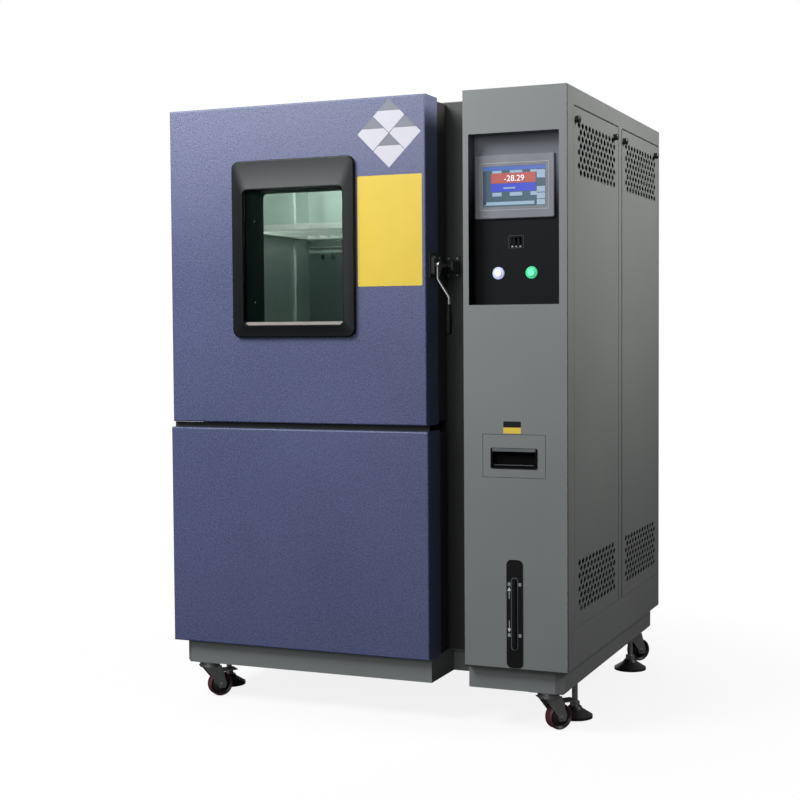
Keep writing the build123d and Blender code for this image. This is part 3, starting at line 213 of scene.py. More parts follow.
class ShaderKit(NodeTree):
    """One material that is built node by node around a Principled shader."""

    def __init__(self, name: str) -> None:
        """Start an empty material with its shader, its output and the object's coordinates."""
        self.material = bpy.data.materials.new(name)
        super().__init__(self.material)
        self.shader = self.node("ShaderNodeBsdfPrincipled")
        self.output = self.node("ShaderNodeOutputMaterial", sockets={"Surface": self.shader.outputs["BSDF"]})
        self.place = self.node("ShaderNodeTexCoord").outputs["Object"]

    def axes(self) -> list[Signal]:
        """The object's X, Y and Z in metres."""
        split = self.node("ShaderNodeSeparateXYZ", sockets={0: self.place})
        return [Signal(self, output) for output in split.outputs]

    def noise(self, size: float, detail: float = 2.0, stretch: Point = (1, 1, 1)) -> Signal:
        """Cloudy noise.

        Args:
            size: The size of its features, in metres.
            detail: How many finer layers it has.
            stretch: How much finer it is along X, Y and Z.

        Returns:
            A signal of 0 to 1.
        """
        mapped = self.node("ShaderNodeMapping", {"vector_type": "POINT"},
                           {"Vector": self.place, "Scale": stretch}).outputs[0]
        made = self.node("ShaderNodeTexNoise", sockets={"Vector": mapped, "Scale": 1 / size, "Detail": detail,
                                                        "Roughness": NOISE_ROUGHNESS})
        return Signal(self, made.outputs["Fac"])

    def mix(self, factor: Any, first: Any, second: Any) -> bpy.types.NodeSocket:
        """Mix two colours by a factor."""
        made = self.node("ShaderNodeMix", {"data_type": "RGBA"}, {0: factor, 6: first, 7: second})
        return made.outputs[2]

    def mottled(self, cloud: Signal, colour: Colour, share: float) -> bpy.types.NodeSocket:
        """A colour that is a share darker where a noise is low, and a share lighter where it is high."""
        return self.mix(cloud.ease(*CLOUD_EDGES), toned(colour, 1 - share), toned(colour, 1 + share))

    def bump(self, height: Signal, depth: float, strength: float = 1.0) -> None:
        """Feed the shader's Normal from a height of 0 to 1 over a depth in metres."""
        made = self.node("ShaderNodeBump", sockets={"Height": height, "Distance": depth, "Strength": strength})
        self.feed(self.shader.inputs["Normal"], made.outputs["Normal"])

    def surface(self, **values: Any) -> bpy.types.Material:
        """Set the shader's own sockets by their names, with underscores for blanks."""
        for key, value in values.items():
            self.feed(self.shader.inputs[key.replace("_", " ")], value)
        return self.material


@dataclass(frozen=True)
class Paint:
    """Textured powder coat: pebbled skin, slight mottling, a faint soft sheen and, if asked, a painted
    highlight towards the top.
    """

    name: str
    colour: Colour
    mottle: float = 0.06
    roughness: float = 0.45
    pebble: float = 0.0022
    depth: float = 0.00012
    speckle: float = 0.0
    # lift and the three fields after it paint the coat lighter and greyer with height: a painted highlight
    lift: float = 1.0
    highlight_from: float = 0.0
    highlight_to: float = 1.0
    highlight_grey: float = 0.3
    gloss: float = 0.4
    cloud_size: float = 0.35
    fleck_size: float = 0.8
    fleck_edges: Pair = (0.5, 0.62)
    pit_edges: Pair = (0.5, 0.38)
    fleck_tone: float = 2.2
    pit_tone: float = 0.45
    grain_swing: float = 0.18
    cloud_swing: float = 0.1

    def build(self) -> bpy.types.Material:
        """Return the material."""
        kit = ShaderKit(self.name)
        cloud = kit.noise(self.cloud_size, 3.0)
        grain = kit.noise(self.pebble)
        base = kit.mottled(cloud, self.colour, self.mottle)
        # painted highlight: the colour is mixed towards a lighter, greyer copy of itself as the height rises
        if self.lift != 1.0:
            _, _, height = kit.axes()
            highlight_tone = toned(self.colour, self.lift, self.highlight_grey)
            base = kit.mix(height.ease(self.highlight_from, self.highlight_to), base, highlight_tone)
        if self.speckle:
            fleck = kit.noise(self.pebble * self.fleck_size, 1.0)
            for spots, edges, tone in ((fleck, self.fleck_edges, self.fleck_tone),
                                       (grain, self.pit_edges, self.pit_tone)):
                base = kit.mix(spots.ease(*edges) * self.speckle, base, toned(self.colour, tone))
        kit.bump(grain, self.depth)
        rough = cloud.about(grain.about(self.roughness, self.grain_swing), self.cloud_swing)
        return kit.surface(Base_Color=base, Roughness=rough, Specular_IOR_Level=self.gloss)


@dataclass(frozen=True)
class Metal:
    """Bare metal with a brushed or plated grain."""

    name: str
    colour: Colour
    roughness: float = 0.3
    grain: Point = (1, 1, 1)
    grain_size: float = 0.004
    depth: float = 0.00002
    relief: float = 0.6
    line_edges: Pair = (0.25, 0.75)
    line_tone: float = 0.86
    line_swing: float = 0.16
    cloud_size: float = 0.12
    cloud_swing: float = 0.08

    def build(self) -> bpy.types.Material:
        """Return the material."""
        kit = ShaderKit(self.name)
        lines = kit.noise(self.grain_size, 3.0, self.grain)
        cloud = kit.noise(self.cloud_size)
        base = kit.mix(lines.ease(*self.line_edges), toned(self.colour, self.line_tone), self.colour)
        kit.bump(lines, self.depth, self.relief)
        rough = cloud.about(lines.about(self.roughness, self.line_swing), self.cloud_swing)
        return kit.surface(Base_Color=base, Roughness=rough, Metallic=1.0)


@dataclass(frozen=True)
class Moulding:
    """Moulded plastic or rubber with a fine spark-eroded grain."""

    name: str
    colour: Colour
    roughness: float = 0.5
    grain_size: float = 0.0009
    depth: float = 0.00003
    mottle: float = 0.08
    gloss: float = 0.5
    relief: float = 0.7
    cloud_size: float = 0.05
    grain_swing: float = 0.2

    def build(self) -> bpy.types.Material:
        """Return the material."""
        kit = ShaderKit(self.name)
        grain = kit.noise(self.grain_size)
        base = kit.mottled(kit.noise(self.cloud_size), self.colour, self.mottle)
        kit.bump(grain, self.depth, self.relief)
        rough = grain.about(self.roughness, self.grain_swing)
        return kit.surface(Base_Color=base, Roughness=rough, Specular_IOR_Level=self.gloss)


@dataclass(frozen=True)
class Pane:
    """Clear tinted glass that lets light straight through and still reflects."""

    name: str
    tint: Colour
    opacity: float = 0.3
    roughness: float = 0.03
    gloss: float = 0.12
    smear_size: float = 0.09
    smear_swing: float = 0.08
    smear_edges: Pair = (0.5, 0.9)
    smear_roughness: float = 0.04

    def build(self) -> bpy.types.Material:
        """Return the material."""
        kit = ShaderKit(self.name)
        smear = kit.noise(self.smear_size, 3.0)
        rough = self.roughness + smear.ease(*self.smear_edges) * self.smear_roughness
        return kit.surface(Base_Color=self.tint, Roughness=rough, Specular_IOR_Level=self.gloss,
                           Alpha=smear.about(self.opacity, self.smear_swing))


@dataclass(frozen=True)
class Glow:
    """A lit plastic or a piece of a display, with a little unevenness of its own."""

    name: str
    colour: Colour
    strength: float = 0.8
    roughness: float = 0.25
    cloud_size: float = 0.006
    dim_tone: float = 0.88

    def build(self) -> bpy.types.Material:
        """Return the material."""
        kit = ShaderKit(self.name)
        lit = kit.mix(kit.noise(self.cloud_size), toned(self.colour, self.dim_tone), self.colour)
        return kit.surface(Base_Color=lit, Roughness=self.roughness, Emission_Color=lit,
                           Emission_Strength=self.strength)


@dataclass(frozen=True)
class TwoZone:
    """Two finishes on one piece, parted at a height; each zone is metallic by a share of its own."""

    name: str
    inner: Colour
    outer: Colour
    level: float
    inner_metal: float = 0.0
    outer_metal: float = 1.0
    roughness: float = 0.42
    grain_size: float = 0.0016
    grain_swing: float = 0.2
    depth: float = 0.00004
    relief: float = 0.6
    soil: Colour = (0.02, 0.02, 0.02, 1.0)
    soil_share: float = 0.15
    soil_swing: float = 0.3

    def build(self) -> bpy.types.Material:
        """Return the material: inner below the level, outer above it."""
        kit = ShaderKit(self.name)
        _, _, height = kit.axes()
        upper = height.above(self.level)
        grain = kit.noise(self.grain_size)
        base = kit.mix(upper, self.inner, self.outer)
        soiled = kit.mix(grain.about(self.soil_share, self.soil_swing), base, self.soil)
        kit.bump(grain, self.depth, self.relief)
        metal = self.inner_metal + upper * (self.outer_metal - self.inner_metal)
        rough = grain.about(self.roughness, self.grain_swing)
        return kit.surface(Base_Color=soiled, Roughness=rough, Metallic=metal)


@dataclass(frozen=True)
class WindowedCore:
    """The door's inner body: steel lining outside, black-painted tunnel round the window."""

    name: str
    lining: Colour
    tunnel: Colour
    window: Edges
    gloss: float = 0.1
    roughness: float = 0.32
    tunnel_roughness: float = 0.35
    line_size: float = 0.003
    line_stretch: Point = (1, 1, 14)
    line_tone: float = 0.85
    line_swing: float = 0.1
    depth: float = 0.00002
    relief: float = 0.5

    def build(self) -> bpy.types.Material:
        """Return the material: black inside the window's rectangle, lining elsewhere."""
        kit = ShaderKit(self.name)
        x, _, z = kit.axes()
        left, right, bottom, top = self.window
        inside = x.above(left) * x.below(right) * z.above(bottom) * z.below(top)
        lines = kit.noise(self.line_size, 3.0, self.line_stretch)
        steel = kit.mix(lines, toned(self.lining, self.line_tone), self.lining)
        base = kit.mix(inside, steel, self.tunnel)
        kit.bump(lines, self.depth, self.relief)
        rough = lines.about(self.roughness + inside * self.tunnel_roughness, self.line_swing)
        return kit.surface(Base_Color=base, Roughness=rough, Metallic=1.0 - inside,
                           Specular_IOR_Level=self.gloss)


@dataclass(frozen=True)
class LitRings:
    """Two lit push-button rings in one piece, each with its own colour left and right of a place along X."""

    name: str
    left: Colour
    right: Colour
    middle: float
    strength: float = 0.35
    roughness: float = 0.2
    cloud_size: float = 0.004
    cloud_share: float = 0.15

    def build(self) -> bpy.types.Material:
        """Return the material: the left colour up to the middle, the right colour after it."""
        kit = ShaderKit(self.name)
        x, _, _ = kit.axes()
        colour = kit.mix(x.above(self.middle), self.left, self.right)
        rough = self.roughness + kit.noise(self.cloud_size) * self.cloud_share
        return kit.surface(Base_Color=colour, Roughness=rough, Emission_Color=colour,
                           Emission_Strength=self.strength)


@dataclass(frozen=True)
class Wheel:
    """A caster wheel: rubber tread at the rim and a black moulded centre, told apart by the axle's distance."""

    name: str
    centre: Point
    tread: Colour
    hub: Colour
    tread_from: float
    roughness: float = 0.4
    tread_roughness: float = 0.2
    grain_size: float = 0.0012
    grain_swing: float = 0.15
    depth: float = 0.00005
    relief: float = 0.7
    dust_size: float = 0.012
    dust_edges: Pair = (0.45, 0.75)
    dust_share: float = 0.4
    dust_tone: float = 2.2

    def build(self) -> bpy.types.Material:
        """Return the material: the tread is where a point lies further from the wheel's centre than a limit."""
        kit = ShaderKit(self.name)
        apart = kit.node("ShaderNodeVectorMath", {"operation": "DISTANCE"}, {0: kit.place, 1: self.centre})
        rim = Signal(kit, apart.outputs["Value"]).above(self.tread_from)
        grain = kit.noise(self.grain_size)
        dust = kit.noise(self.dust_size, 3.0).ease(*self.dust_edges) * self.dust_share
        base = kit.mix(rim, self.hub, kit.mix(dust, self.tread, toned(self.tread, self.dust_tone)))
        kit.bump(grain, self.depth, self.relief)
        rough = grain.about(self.roughness + rim * self.tread_roughness, self.grain_swing)
        return kit.surface(Base_Color=base, Roughness=rough)


class Finish(Enum):
    """Every finish that is used on more than one piece."""

    GREY = Paint("grey_powder_coat", shade(111, 114, 114), 0.03, 0.4, 0.0016, 0.00008)
    # the blue is painted lighter and greyer towards the door's top: a painted highlight in place of the top
    # light's sheen on the pebbled coat
    BLUE = Paint("blue_pebbled_coat", shade(71, 76, 108), 0.05, 0.42, 0.0042, 0.0005, speckle=0.34,
                 lift=1.62, highlight_from=1.08, highlight_to=1.56)
    BLACK = Paint("black_powder_coat", shade(47, 48, 47), 0.06, 0.38, 0.0018, 0.00006)
    # the recess is painted much lighter towards its top: partly the upper plate's own lighter grey, partly
    # painted reflection of the top light
    RECESS = Paint("recess_dark_coat", shade(17, 18, 20), 0.04, 0.5, 0.0014, 0.00004,
                   lift=30.0, highlight_from=1.26, highlight_to=1.44, gloss=0.08)
    STEEL = Metal("brushed_stainless", (0.62, 0.68, 0.65, 1.0), 0.5, (1, 1, 18), 0.006)
    ZINC = Metal("zinc_plate", (0.42, 0.43, 0.42, 1.0), 0.4, grain_size=0.009)
    CHROME = Metal("bright_chrome", (0.62, 0.62, 0.63, 1.0), 0.2, grain_size=0.01, depth=0.000005)
    ALUMINIUM = Metal("plain_aluminium", (0.7, 0.71, 0.72, 1.0), 0.4, (6, 1, 1))
    BLACK_PLASTIC = Moulding("black_moulding", shade(24, 24, 26), 0.42)
    TRIM_PLASTIC = Moulding("window_trim_moulding", shade(16, 17, 19), 0.38, 0.0016, 0.00009, gloss=0.2)
    PANEL_PLASTIC = Moulding("panel_housing_moulding", shade(106, 108, 115), 0.45)
    PULL_PLASTIC = Moulding("pull_moulding", shade(7, 7, 8), 0.45, mottle=0.05, gloss=0.06)
    RUBBER = Moulding("seal_rubber", shade(26, 27, 25), 0.7, 0.0012, 0.00004)
    FOAM = Moulding("rigid_foam", shade(206, 192, 150), 0.9, 0.003, 0.0004, 0.12)
    PANE = Pane("tinted_pane", (0.002, 0.006, 0.005, 1.0), 0.24)
    TUBE = Pane("sight_tube", (0.012, 0.013, 0.015, 1.0), 0.8, 0.08)
    WHITE_FILM = Moulding("white_film", shade(187, 185, 193), 0.38, 0.004, 0.00002, 0.015)
    GREY_FILM = Moulding("grey_film", shade(112, 114, 124), 0.38, 0.004, 0.00002, 0.015)
    YELLOW_FILM = Moulding("yellow_film", shade(206, 178, 56), 0.4, 0.004, 0.00002, 0.02)
    GAUGE_BLACK = Moulding("gauge_plate_black", shade(15, 15, 15), 0.4, 0.001, 0.00001, 0.05, 0.2)
    PALE_MARK = Moulding("pale_ink", shade(158, 160, 160))
    DARK_MARK = Moulding("dark_ink", shade(12, 12, 13), mottle=0.05, gloss=0.2)
    GAUGE_MARK = Moulding("gauge_mark", shade(126, 128, 128))
    DIM_LINE = Moulding("dim_line", shade(82, 84, 86))
    GRIP = Moulding("grip_rubber", shade(9, 9, 9), 0.55, mottle=0.05, gloss=0.12)
    SHELF = Moulding("satin_shelf", shade(205, 210, 204), 0.36, 0.002, 0.00003, 0.05)
    BEAD = Moulding("glazing_bead", shade(146, 140, 136), 0.32, 0.003, 0.00002, 0.06)
    LEVER = Metal("worn_lever_bar", (0.3, 0.3, 0.3, 1.0), 0.34, grain_size=0.01, depth=0.000005)

    def material(self) -> bpy.types.Material:
        """Return this finish's material, built once."""
        return bpy.data.materials.get(self.value.name) or self.value.build()


class Kit:
    """Puts pieces into the scene and finishes onto pieces."""

    @staticmethod
    def paint(finish: Finish | Any, *nodes: str) -> None:
        """Give each named CAD piece one finish."""
        material = finish.material() if isinstance(finish, Finish) else finish.build()
        for node in nodes:
            data = FRAME["nodes"][node].data
            data.materials.clear()
            data.materials.append(material)
            LOG.info("finish %s on %s", material.name, node)

    @staticmethod
    def mesh(name: str, points: Array, faces: Sequence[Sequence[int]], smooth: bool = True
             ) -> bpy.types.Object:
        """Make a mesh object from whole arrays, merge its doubled points and turn its faces outwards.

        Args:
            name: The piece's name.
            points: The points, one row each, in metres.
            faces: The faces' point numbers.
            smooth: Whether its faces are smooth shaded, parted at sharp edges.

        Returns:
            The new object.
        """
        data = bpy.data.meshes.new(name)
        data.from_pydata(points.tolist(), [], [tuple(int(i) for i in face) for face in faces])
        shape = bmesh.new()
        shape.from_mesh(data)
        bmesh.ops.remove_doubles(shape, verts=shape.verts, dist=1e-6)
        bmesh.ops.recalc_face_normals(shape, faces=shape.faces)
        shape.to_mesh(data)
        shape.free()
        if smooth:
            data.shade_smooth()
            data.set_sharp_from_angle(angle=math.radians(32))
        made = bpy.data.objects.new(name, data)
        bpy.context.scene.collection.objects.link(made)
        return made

    @staticmethod
    def place(piece: bpy.types.Object, body: str, finish: Finish | bpy.types.Material, slot: str) -> None:
        """Give a new piece its finish and the body that it rides on."""
        material = finish.material() if isinstance(finish, Finish) else finish
        piece.data.materials.append(material)
        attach(piece, body)
        LOG.info("piece %s rides on %s", piece.name, body)


@dataclass(frozen=True)
class Seat:
    """A flat place on the object: where it is, its two directions and its outward direction."""

    origin: Point
    across: Point
    up: Point

    def points(self, u: Array, v: Array, out: Array) -> Array:
        """Points at u across, v up and a height out of the plane, as rows."""
        first, second = np.array(self.across, float), np.array(self.up, float)
        normal = np.cross(first, second)
        return (np.array(self.origin) + u.reshape(-1, 1) * first + v.reshape(-1, 1) * second
                + out.reshape(-1, 1) * normal)

    @staticmethod
    def front(y: float) -> "Seat":
        """A seat that faces the front at a depth y, with u along X and v along Z."""
        return Seat((0.0, y, 0.0), (1.0, 0.0, 0.0), (0.0, 0.0, 1.0))

    @staticmethod
    def right(x: float) -> "Seat":
        """A seat that faces right at a place x, with u along Y and v along Z."""
        return Seat((x, 0.0, 0.0), (0.0, 1.0, 0.0), (0.0, 0.0, 1.0))


class Outline:
    """Closed outlines in a plane, as arrays of two columns, all running counter-clockwise."""

    @staticmethod
    def rounded(low_u: float, high_u: float, low_v: float, high_v: float, radius: float,
                steps: int = 8) -> Array:
        """A rectangle with round corners: each corner is a quarter circle about its own centre."""
        quarter = np.linspace(0.0, math.pi / 2, steps)
        angle = np.repeat(np.arange(4) * math.pi / 2, steps) + np.tile(quarter, 4)
        left, right, bottom, top = grown((low_u, high_u, low_v, high_v), -radius)
        centre_u = np.repeat([right, left, left, right], steps)
        centre_v = np.repeat([top, top, bottom, bottom], steps)
        return np.stack([centre_u + radius * np.cos(angle), centre_v + radius * np.sin(angle)], axis=1)

    @staticmethod
    def circle(u: float, v: float, radius: float, steps: int = 32) -> Array:
        """A circle about a centre."""
        angle = np.linspace(0.0, 2 * math.pi, steps, endpoint=False)
        return np.stack([u + radius * np.cos(angle), v + radius * np.sin(angle)], axis=1)

    @staticmethod
    def diamond(u: float, v: float, half_u: float, half_v: float) -> Array:
        """A square on its corner."""
        return np.array([[u + half_u, v], [u, v + half_v], [u - half_u, v], [u, v - half_v]])


class Shapes:
    """Surfaces that are worked out as whole arrays."""

    @staticmethod
    def between(name: str, seat: Seat, rings: Sequence[Array], heights: Sequence[float],
                closed: bool = False) -> bpy.types.Object:
        """Skin a stack of outlines with equal numbers of points.

        The surface runs straight from each outline at its height to the next. An open stack has its first and
        last outlines filled, and a closed one joins the last outline to the first, as on a frame.

        Args:
            name: The piece's name.
            seat: The plane that the outlines lie in.
            rings: The outlines, in order.
            heights: Each outline's height out of the plane.
            closed: Whether the last outline joins the first.

        Returns:
            The new object.
        """
        count, last = len(rings[0]), len(rings) - 1
        stack = np.concatenate(rings)
        points = seat.points(stack[:, 0], stack[:, 1], np.repeat(np.array(heights, float), count))
        index = np.arange(count)
        after = (index + 1) % count
        faces: list[Sequence[int]] = []
        for row in range(last + closed):
            low, high = row * count, ((row + 1) % len(rings)) * count
            faces.extend(np.stack([low + index, low + after, high + after, high + index], axis=1).tolist())
        if not closed:
            faces += [index[::-1].tolist(), (last * count + index).tolist()]
        return Kit.mesh(name, points, faces)

    @staticmethod
    def film(name: str, seat: Seat, outline: Array, thickness: float, body: str,
             finish: Finish | bpy.types.Material, slot: str) -> None:
        """Build a thin plate that stands out of a seat, and place it on its body."""
        Kit.place(Shapes.between(name, seat, [outline, outline], [0.0, thickness]), body, finish, slot)

    @staticmethod
    def border(name: str, seat: Seat, edges: Edges, width: float, radii: Pair, height: float,
               finish: Finish, slot: str) -> None:
        """Build a thin frame line on the cabinet.

        Args:
            name: The piece's name.
            seat: The plane that it stands on.
            edges: Its outer edges.
            width: Its width.
            radii: Its outer and inner corner radius.
            height: How far it stands out.
            finish: Its finish.
            slot: Not used.
        """
        outer = Outline.rounded(*edges, radii[0])
        inner = Outline.rounded(*grown(edges, -width), radii[1])
        rings, heights = [outer, outer, inner, inner], [0.0, height, height, 0.0]
        Kit.place(Shapes.between(name, seat, rings, heights, closed=True), "cabinet", finish, slot)

    @staticmethod
    def dome(name: str, seat: Seat, u: float, v: float, radius: float, height: float) -> bpy.types.Object:
        """A low dome on a short wall, as on a screw: it rises as the root of one less the squared radius."""
        share = np.array([1.0, 1.0, 0.92, 0.75, 0.5, 0.2])
        wall = 0.35
        rise = height * np.concatenate([[0.0], wall + (1 - wall) * np.sqrt(1 - share[1:] ** 2)])
        rings = [Outline.circle(u, v, radius * part, 20) for part in share]
        return Shapes.between(name, seat, rings, rise.tolist())


@dataclass
class WindowTrim:
    """The black moulded frame round the window, which replaces the plain one."""

    outer_corner: float = 0.020
    inner_corner: float = 0.012
    least_corner: float = 0.002
    proud: float = 0.0115
    shoulder: float = 0.0035
    shoulder_steps: int = 6
    band_drop: float = 0.0008
    bevel: float = 0.002
    lip_width: float = 0.005
    lip_rise: float = 0.0009
    lip_edge: float = 0.0015
    side_band: float = 0.032
    top_band: float = 0.075
    bottom_band: float = 0.031

    def __post_init__(self) -> None:
        """Read the frame's outer corners and work out its opening."""
        self.outer = front_edges("window_frame")
        left, right, bottom, top = self.outer
        self.opening = (left + self.side_band, right - self.side_band,
                        bottom + self.bottom_band, top - self.top_band)
        self.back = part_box("window_frame")[1].y

    def _ring(self, outward: float) -> Array:
        """The opening's outline, moved out by a distance."""
        corner = max(self.inner_corner + outward, self.least_corner)
        return Outline.rounded(*grown(self.opening, outward), corner)

    def _edge(self, inward: float) -> Array:
        """The frame's outer outline, moved in by a distance."""
        return Outline.rounded(*grown(self.outer, -inward), self.outer_corner - inward)

    def build(self) -> None:
        """Build the frame: a quarter-round shoulder outside, a flat band and a raised lip round the glass."""
        turn = np.linspace(0.0, math.pi / 2, self.shoulder_steps)
        base = self.proud - self.shoulder
        band = self.proud - self.band_drop
        rings = [self._edge(0.0), *(self._edge(self.shoulder * (1 - math.cos(a))) for a in turn)]
        heights = [0.0, *(base + self.shoulder * math.sin(a) for a in turn)]
        for outward, height in ((self.lip_width + self.bevel, band), (self.lip_width, band + self.lip_rise),
                                (self.lip_edge, self.proud), (0.0, self.proud - self.lip_edge), (0.0, 0.0)):
            rings.append(self._ring(outward))
            heights.append(height)
        frame = Shapes.between("window_trim", Seat.front(self.back), rings, heights, closed=True)
        Kit.place(frame, "door", Finish.TRIM_PLASTIC, "black_plastic")
        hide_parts("window_frame")


@dataclass
class Display:
    """What the lit touch screen shows, as flat fields just in front of its glass, and the line round it."""

    lift: float = 0.0003
    reading: str = "-28.29"
    text_height: float = 0.0205
    text_depth: float = 0.0002
    text_layer: int = 3
    text_share: float = 0.625
    corner: float = 0.0006
    line: float = 0.0013
    line_margin: float = 0.0085
    line_height: float = 0.0004
    line_corners: Pair = (0.003, 0.002)

    def __post_init__(self) -> None:
        """Read the screen's corners and make the colours."""
        self.low, self.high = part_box("touch_screen")
        tones = (("blue", (58, 88, 158), 0.3), ("deep_blue", (44, 60, 168), 0.35), ("teal", (50, 78, 92), 0.25),
                 ("red", (158, 72, 66), 0.3), ("pale", (132, 154, 172), 0.3), ("slate", (38, 56, 84), 0.25),
                 ("white", (222, 216, 222), 0.5))
        self.tones = {name: Glow(f"display_{name}", shade(*tone), light).build() for name, tone, light in tones}

    def _field(self, name: str, shares: Edges, tone: str, layer: int) -> None:
        """One flat field, placed by shares of the screen's width and height."""
        width, height = self.high.x - self.low.x, self.high.z - self.low.z
        left, right, bottom, top = shares
        outline = Outline.rounded(self.low.x + left * width, self.low.x + right * width,
                                  self.low.z + bottom * height, self.low.z + top * height, self.corner, 3)
        Shapes.film(f"display_{name}", Seat.front(self.low.y), outline, self.lift * layer, "cabinet",
                    self.tones[tone], "screen")

    def build(self) -> None:
        """Build the bars, blocks and the number of the display, and the thin line round it."""
        fields = [("ground", (0.0, 1.0, 0.0, 1.0), "teal", 1), ("top_bar", (0.0, 1.0, 0.90, 1.0), "blue", 2),
                  ("left_column", (0.0, 0.05, 0.06, 0.88), "slate", 2),
                  ("red_bar", (0.13, 0.84, 0.58, 0.83), "red", 2),
                  ("blue_bar", (0.13, 0.84, 0.37, 0.57), "deep_blue", 2),
                  ("bottom_bar", (0.02, 0.82, 0.04, 0.12), "pale", 2)]
        for number, (start, end) in enumerate(((0.15, 0.30), (0.43, 0.63), (0.76, 0.86))):
            fields += [(f"tab_high_{number}", (start, end, 0.83, 0.89), "pale", 3),
                       (f"tab_low_{number}", (start, end, 0.26, 0.35), "pale", 3)]
        for number, (bottom, top) in enumerate(((0.68, 0.88), (0.33, 0.47), (0.17, 0.31), (0.02, 0.15))):
            fields.append((f"key_{number}", (0.86, 0.99, bottom, top), "pale", 2))
        fields.append(("caption_line", (0.33, 0.52, 0.44, 0.475), "pale", 3))
        for entry in fields:
            self._field(*entry)
        self._number()
        Shapes.border("housing_line", Seat.front(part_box("touch_panel_housing")[0].y),
                      grown(front_edges("touch_screen"), self.line_margin), self.line, self.line_corners,
                      self.line_height, Finish.PALE_MARK, "grey_plastic")

    def _number(self) -> None:
        """The reading, as flat figures turned into a mesh and moved into place."""
        objects = bpy.context.scene.collection.objects
        curve = bpy.data.curves.new("display_reading", "FONT")
        curve.body = self.reading
        curve.size = self.text_height
        curve.align_x = "CENTER"
        curve.extrude = self.text_depth
        holder = bpy.data.objects.new("display_reading", curve)
        objects.link(holder)
        bpy.context.view_layer.update()
        data = bpy.data.meshes.new_from_object(holder.evaluated_get(bpy.context.evaluated_depsgraph_get()))
        bpy.data.objects.remove(holder)
        middle = Vector(((self.low.x + self.high.x) / 2, self.low.y - self.lift * self.text_layer,
                         self.low.z + self.text_share * (self.high.z - self.low.z)))
        data.transform(Matrix.Translation(middle) @ Matrix.Rotation(math.radians(90), 4, "X"))
        figures = bpy.data.objects.new("display_reading", data)
        objects.link(figures)
        Kit.place(figures, "cabinet", self.tones["white"], "screen")


@dataclass
class FrontFilms:
    """Blank films on the door and above the drawer, which stand where printed ones would be."""

    film: float = 0.0004
    upper_film: float = 0.0006
    from_door_right: float = 0.0095
    film_width: float = 0.173
    sheet_top: float = 1.363
    sheet_bottom: float = 1.090
    sheet_corner: float = 0.003
    diamonds_top: float = 1.551
    diamonds_bottom: float = 1.380
    diamond_share: float = 0.975
    diamond_band: float = 0.3
    small_width: float = 0.044
    small_bottom: float = 0.731
    small_top: float = 0.760
    small_corner: float = 0.001
    small_from_right: float = 0.115

    def build(self) -> None:
        """Build the yellow sheet, the four white diamonds and the small two-tone label."""
        low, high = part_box("door_skin")
        seat = Seat.front(low.y)
        right = high.x - self.from_door_right
        left = right - self.film_width
        sheet = Outline.rounded(left, right, self.sheet_bottom, self.sheet_top, self.sheet_corner, 4)
        Shapes.film("yellow_sheet", seat, sheet, self.film, "door", Finish.YELLOW_FILM, "white_cap")
        half = (self.diamonds_top - self.diamonds_bottom) / 4
        reach = half * self.diamond_share
        side = reach * (1 - self.diamond_band)
        for number, (du, dv) in enumerate(((0, half), (half, 0), (0, -half), (-half, 0))):
            u, v = (left + right) / 2 + du, (self.diamonds_top + self.diamonds_bottom) / 2 + dv
            crown = np.array([[u + side, v + reach - side], [u, v + reach], [u - side, v + reach - side]])
            Shapes.film(f"white_diamond_{number}", seat, Outline.diamond(u, v, reach, reach), self.film, "door",
                        Finish.WHITE_FILM, "white_cap")
            Shapes.film(f"grey_crown_{number}", seat, crown, self.upper_film, "door", Finish.GREY_FILM,
                        "white_cap")
        low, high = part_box("control_front_panel")
        end = high.x - self.small_from_right
        split = (self.small_bottom + self.small_top) / 2
        for name, bottom, film, finish in (("yellow", self.small_bottom, self.film, Finish.YELLOW_FILM),
                                           ("dark", split, self.upper_film, Finish.DARK_MARK)):
            outline = Outline.rounded(end - self.small_width, end, bottom, self.small_top, self.small_corner, 3)
            Shapes.film(f"small_label_{name}", Seat.front(low.y), outline, film, "cabinet", finish,
                        "black_paint")


